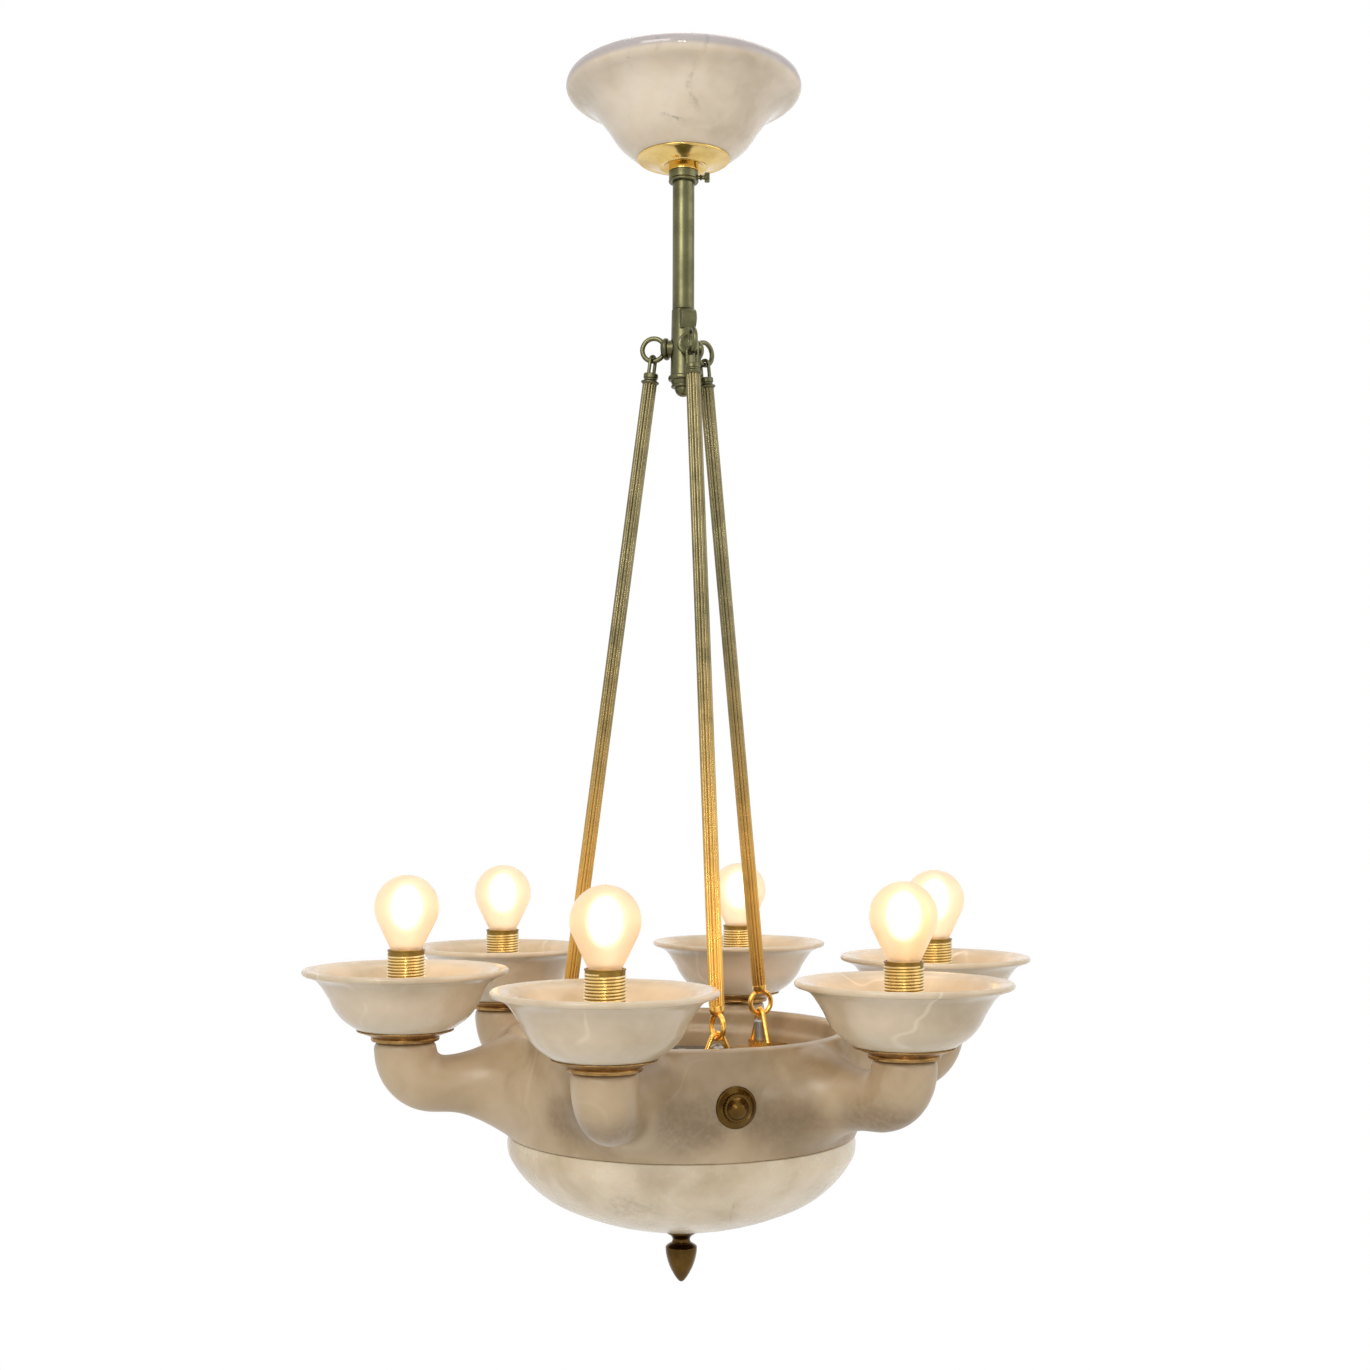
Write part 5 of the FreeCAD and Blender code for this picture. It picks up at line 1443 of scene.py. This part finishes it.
@dataclass
class Lights:
    """What stands on each arm: brass plate, alabaster cup, threaded sleeve and bulb."""

    cup_r: float = 73.66
    cup_foot_r: float = 34.2
    lip_r: float = 2.1
    floor: float = 8.0
    hole_r: float = 5.3
    plate_r: float = 34.65
    band_r: float = 23.9
    sleeve_r: float = 13.75
    mouth_r: float = 12.2
    pitch: float = 2.1
    bulb_r: float = 23.1
    core_r: float = 11.4
    core_half: float = 16.2
    bulb_mouth_r: float = 11.3
    bulb_stem_r: float = 6.3
    glass: float = 0.9
    taper: float = 25.4  # where the straight taper meets the round, in degrees below its middle

    def build(self) -> None:
        """Builds and dresses all six lights."""
        out = upright(ARM_REACH)
        for make, label, finish, slot, node in (
                (self.cup, "cup_stone_%d", Finish.CUP, "alabaster", "cup_%d"),
                (self.plate, "cup_brass_plate_%d", Finish.PLATE_BRASS, "polished_brass", "cup_plates"),
                (self.sleeve, "bulb_sleeve_%d", Finish.SLEEVE, "polished_brass", "lampholders"),
                (self.thread, "bulb_thread_%d", Finish.THREAD, "polished_brass", "")):
            pieces = copies(place(make(), out), [label % k for k in range(1, 7)], ARM_TURNS)
            for k, piece in enumerate(pieces, 1):
                nodes = [node % k] if "%d" in node else [node] if node and k == 1 else []
                keep(piece, finish, "bowl", slot, *nodes)
        for make, label, finish, nodes in (
                (self.globe, "bulb_glass_%d", Finish.GLASS, ["bulb_globe_%d"]),
                (self.core, "bulb_core_%d", Finish.GLOW, [])):
            pieces = copies(place(make(), out), [label % k for k in range(1, 7)], ARM_TURNS)
            for k, piece in enumerate(pieces, 1):
                keep(piece, finish, "bulb_%d" % k, "frosted_glass", *[node % k for node in nodes])
                piece.visible_shadow = False
                if finish is Finish.GLOW:
                    piece.visible_diffuse = False
        for k in range(1, 7):
            dress(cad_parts["bulb_cap_%d" % k], Finish.CAP)
        dress(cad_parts["socket_tubes"], Finish.ZINC)

    def cup(self) -> bpy.types.Object:
        """Makes a cup: an ogee wall with a round lip that turns outwards."""
        foot, rim = low("cup_2"), high("cup_2")
        r, foot_r, lip = self.cup_r, self.cup_foot_r, self.lip_r
        floor = foot + self.floor
        return turned("cup", outline(
            (self.hole_r, foot), (foot_r - 2.5, foot),
            [(foot_r + 0.2, foot + 0.4), (foot_r + 10.2, foot + 7.6), (foot_r + 16.6, foot + 15.5),
             (foot_r + 20.8, foot + 23.6), (r - 11.6, rim - 9.2), (r - 6, rim - 5.6),
             (r - lip, rim - 2 * lip)],
            ((r, rim - lip), (r - lip, rim)),
            [(r - 8, rim - 1.3), (r - 14.5, rim - 5.4), (r - 21.5, rim - 16.5), (r - 27, rim - 26.5),
             (foot_r - 1, floor + 1), (foot_r - 6, floor)], (self.hole_r, floor)), 144, 40)

    def plate(self) -> bpy.types.Object:
        """Makes the brass plate: a shallow dish over a plain band."""
        top, foot = high("cup_plates"), low("cup_plates")
        r, band = self.plate_r, self.band_r
        return turned("plate", outline(
            (self.hole_r, top), (r - 0.3, top), ((r, top - 0.5), (r - 0.3, top - 1)), (r - 0.9, top - 1.1),
            [(r - 4.5, top - 2.4), (band + 0.6, top - 4.6)], (band, top - 5),
            ((band + 0.5, (top - 5 + foot) / 2), (band, foot)), (self.hole_r, foot)), 96, 28)

    def sleeve(self) -> bpy.types.Object:
        """Makes the lampholder's sleeve, down to the roots of its thread."""
        foot, top, r = low("lampholders"), high("lampholders"), self.sleeve_r
        root = r - 0.7
        return turned("sleeve", outline(
            (self.hole_r, foot), (root, foot), (root, top - 1.2), (r - 0.2, top - 1), (r - 0.2, top - 0.3),
            (r - 0.5, top), (self.mouth_r, top), (self.mouth_r, top - 12), (7.3, top - 12), (7.3, top - 38.3),
            (self.hole_r, top - 38.3)), 64, 30)

    def thread(self) -> bpy.types.Object:
        """Winds the thread's ridge round the sleeve."""
        foot, top, root = low("lampholders"), high("lampholders"), self.sleeve_r - 0.7
        bpy.ops.object.select_all(action="DESELECT")
        bpy.ops.mesh.primitive_circle_add(
            vertices=4, radius=0.95 * MM, location=((root - 0.25) * MM, 0, (foot + 1.2) * MM),
            rotation=(math.pi / 2, 0, 0))
        thread = bpy.context.object
        bpy.ops.object.transform_apply()
        turns = int((top - foot - 4) / self.pitch)
        apply_modifier(thread, "SCREW", steps=40, render_steps=40, screw_offset=self.pitch * MM,
                       iterations=turns, use_merge_vertices=True)
        return close(thread, 30, fill=True)

    def globe(self) -> bpy.types.Object:
        """Makes the pear-shaped glass, open where its screw cap holds it."""
        top, foot, lip = high("bulb_globe_1"), low("bulb_globe_1"), high("lampholders")
        r, wall, mouth, stem = self.bulb_r, self.glass, self.bulb_mouth_r, self.bulb_stem_r
        inner, middle = r - wall, top - r
        side, below = math.cos(math.radians(self.taper)), math.sin(math.radians(self.taper))
        outside = round_through((r * side, middle - r * below), (r, middle), (0, top), 28)
        inside = round_through((0, top - wall), (inner, middle), (inner * side, middle - inner * below), 28)
        return turned("globe", outline(
            (stem - wall, foot), (stem, foot),
            [(stem + 1.9, foot + 4), (mouth - 1, lip - 1.6), (mouth, lip + 0.4)],
            (r * side, middle - r * below), *outside, (0, top - wall), *inside, (mouth - wall, lip + 0.4),
            [(mouth - wall - 1, lip - 1.4), (stem + 1, foot + 4.3), (stem - wall, foot)]), 96, 60)

    def core(self) -> bpy.types.Object:
        """Makes the glowing core: an upright egg in the middle of the glass."""
        middle = high("bulb_globe_1") - self.bulb_r - 0.5
        angles = [math.radians(angle) for angle in range(0, 181, 9)]
        profile = [(self.core_r * math.sin(a), middle + self.core_half * math.cos(a)) for a in angles]
        profile[0], profile[-1] = (0, profile[0][1]), (0, profile[-1][1])
        return turned("core", profile, 48, 60)


@dataclass
class Underside:
    """The lower dome with its bronze disc and finial, and the plate inside the bowl."""

    dome_r: float = 128.8
    wall: float = 9.0
    flat_r: float = 31.0
    disc_r: float = 30.5
    hole_r: float = 3.3
    plate_r: float = 78.6
    flange_r: float = 12.45
    neck_r: float = 6.5
    bud_r: float = 11.65

    def build(self) -> None:
        """Builds and dresses dome, disc, finial and plate."""
        keep(self.dome(), Finish.DOME, "bowl", "alabaster", "bowl_dome")
        keep(self.disc(), Finish.DARK_BRONZE, "bowl", "aged_bronze", "dome_disc")
        keep(self.finial(), Finish.DARK_BRONZE, "finial", "aged_bronze", "finial")
        keep(self.plate(), Finish.LACQUER, "bowl", "dark_plate", "inner_plate")
        dress(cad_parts["centre_rod"], Finish.ZINC)
        dress(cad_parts["centre_nut"], Finish.ZINC)

    def dome(self) -> bpy.types.Object:
        """Makes the shallow dome, ground flat round its middle."""
        top, foot, r = high("bowl_dome"), low("bowl_dome"), self.dome_r
        inner, floor = r - self.wall, foot + self.wall
        return turned("lower_dome", outline(
            (inner, top), (r - 0.6, top), (r, top - 0.6),
            [(r - 0.5, top - 13.8), (r - 10.8, top - 29.5), (r - 26.6, top - 43.7), (r - 46.2, top - 53.6),
             (r - 69.8, top - 61.8), (self.flat_r, foot)],
            (self.hole_r, foot), (self.hole_r, floor), (self.flat_r, floor),
            [(r - 69, floor + 5.4), (r - 46, floor + 13.8), (r - 28, floor + 25), (inner - 3.5, top - 20),
             (inner, top)]), 192, 40)

    def disc(self) -> bpy.types.Object:
        """Makes the bronze disc between dome and finial."""
        top, foot, r = high("dome_disc"), low("dome_disc"), self.disc_r
        return turned("dome_bronze_disc", outline(
            (self.hole_r, top), (r - 0.3, top), (r, top - 0.3), (r - 0.3, top - 0.9), (r - 1.2, top - 1.0),
            [(r - 6, top - 1.9), (r - 14, top - 2.6), (self.flange_r - 1.5, foot)],
            (self.hole_r, foot)), 96, 25)

    def finial(self) -> bpy.types.Object:
        """Makes the turned finial: a flange, a waist and a pointed bud."""
        top, tip = high("finial"), low("finial")
        flange, neck, bud = self.flange_r, self.neck_r, self.bud_r
        return turned("pointed_finial", outline(
            (0, top), (flange - 3.6, top), (flange - 2.9, top - 1.4),
            ((flange, top - 2.6), (flange - 1.2, top - 3.8)),
            [(neck + 1.3, top - 6.2), (neck, top - 8.8), (neck + 0.9, top - 11.2)],
            [(bud - 0.6, top - 13.4), (bud, top - 15.6), (bud - 0.7, top - 21), (bud - 2.9, top - 28),
             (bud - 6.4, top - 34.6), (2.2, tip + 1.2), (0, tip)]), 96, 28)

    def plate(self) -> bpy.types.Object:
        """Makes the dark plate, with a rolled edge."""
        top, foot, r = high("inner_plate"), low("inner_plate"), self.plate_r
        return turned("bowl_inner_plate", outline(
            (self.hole_r, foot), (r - 0.8, foot), ((r, (top + foot) / 2), (r - 0.8, top)),
            (self.hole_r, top)), 128, 40)


# ---- studio --------------------------------------------------------------
@dataclass
class Studio:
    """Pale floor, white surroundings, soft lamps and the photograph's camera."""

    eye: tuple[float, float, float] = (-376.5, -1291.7, -558.0)
    ahead: Pair = (0.2812, 0.9597)
    pitch: float = 0.0649
    roll: float = 0.12
    lens: float = 46.745
    floor_level: float = -1320.0
    surround: float = 0.5
    bulb_power: float = 0.08

    def build(self) -> None:
        """Builds floor, surroundings, lamps and camera."""
        self.floor()
        self.world()
        self.area("key_lamp", (-1500, -1700, 700), 1100, 24, "#fffaf2")
        self.area("fill_lamp", (1700, -900, 100), 1500, 9, "#fdf8f2")
        self.area("top_lamp", (300, 300, 1300), 1500, 10, "#fffdf8")
        self.area("front_lamp", (-600, -1900, -300), 240, 3.5, "#fffdf8")
        self.bulb_lights()
        self.camera()
        bpy.context.scene.view_settings.view_transform = "Standard"

    def floor(self) -> None:
        """Lays the pale floor far below the lamp; to the camera it is as white as the surroundings."""
        bpy.ops.object.select_all(action="DESELECT")
        bpy.ops.mesh.primitive_plane_add(size=30, location=(0, 0, self.floor_level * MM))
        floor = bpy.context.object
        floor.name = "studio_floor"
        material, tree, _ = started("pale_floor")
        coated(material, {"Base Color": "#e9e9e7", "Roughness": 0.9})
        white = add(tree, "Emission", {"Strength": 1.0})
        shown = add(tree, "MixShader", {
            0: self.seen(tree), 1: tree.nodes["Principled BSDF"].outputs[0], 2: white})
        tree.links.new(shown, tree.nodes["Material Output"].inputs["Surface"])
        floor.data.materials.append(material)

    def seen(self, tree: bpy.types.NodeTree) -> bpy.types.NodeSocket:
        """Returns 1 for rays from the camera and for those that gloss and glass send on.

        Args:
            tree: The nodes of a material or of the world.

        Returns:
            The output that gives it.
        """
        value = add(tree, "LightPath", {}, "Is Camera Ray")
        for name in ("Is Glossy Ray", "Is Transmission Ray"):
            value = add(tree, "Math", {"operation": "MAXIMUM", 0: value, 1: add(tree, "LightPath", {}, name)})
        return value

    def world(self) -> None:
        """Fills the surroundings with soft pale light that looks white."""
        world = bpy.data.worlds.new("studio_white")
        world.use_nodes = True
        bpy.context.scene.world = world
        tree = world.node_tree
        back = tree.nodes["Background"].inputs
        lead(tree, "#ffffff", back["Color"])
        strength = add(tree, "MapRange", {0: self.seen(tree), 1: 0.0, 2: 1.0, 3: self.surround, 4: 1.0})
        lead(tree, strength, back["Strength"])

    def area(self, name: str, spot: tuple[float, float, float], size: float, power: float,
             colour: str) -> None:
        """Adds a square soft lamp that looks at the middle of the bowl.

        Args:
            name: The lamp's name.
            spot: Its place, in mm.
            size: Its side, in mm.
            power: Its power, in watts.
            colour: Its hex colour.
        """
        bpy.ops.object.light_add(type="AREA", location=Vector(spot) * MM)
        lamp = bpy.context.object
        lamp.name = name
        lamp.data.size = size * MM
        lamp.data.energy = power
        lamp.data.color = linear(colour)[:3]
        lamp.rotation_euler = (Vector(spot) - Vector((0, 0, -600))).to_track_quat("Z", "Y").to_euler()

    def bulb_lights(self) -> None:
        """Adds a small warm light in each bulb, which gilds the metal around it."""
        level = high("bulb_globe_1") - Lights.bulb_r
        for k, turn in enumerate(ARM_TURNS, 1):
            spot = at_turn(turn) @ Vector((ARM_REACH, 0, level))
            bpy.ops.object.light_add(type="POINT", location=spot * MM)
            lamp = bpy.context.object
            lamp.name = "bulb_light_%d" % k
            lamp.data.energy = self.bulb_power
            lamp.data.shadow_soft_size = 12 * MM
            lamp.data.color = linear("#ffc27a")[:3]

    def camera(self) -> None:
        """Sets the camera where the photograph was taken."""
        data = bpy.data.cameras.new("photo_camera")
        data.lens = self.lens
        data.sensor_width = 36.0
        data.clip_start = 0.01
        camera = bpy.data.objects.new("photo_camera", data)
        bpy.context.collection.objects.link(camera)
        forward = Vector((self.ahead[0], self.ahead[1], 0)).normalized() * math.cos(self.pitch)
        forward.z = math.sin(self.pitch)
        turn = forward.to_track_quat("-Z", "Y").to_matrix().to_4x4()
        camera.matrix_world = (Matrix.Translation(Vector(self.eye) * MM) @ turn
                               @ Matrix.Rotation(math.radians(self.roll), 4, "Z"))
        bpy.context.scene.camera = camera


def main() -> None:
    """Builds the lamp and its studio."""
    logging.basicConfig(level=logging.INFO, format="%(message)s")
    for part in (Canopy(), Stem(), Rods(), Hangers(), Bowl(), Lights(), Underside(), Studio()):
        part.build()
        LOG.info("%s done", type(part).__name__)


if __name__ == "__main__":
    main()
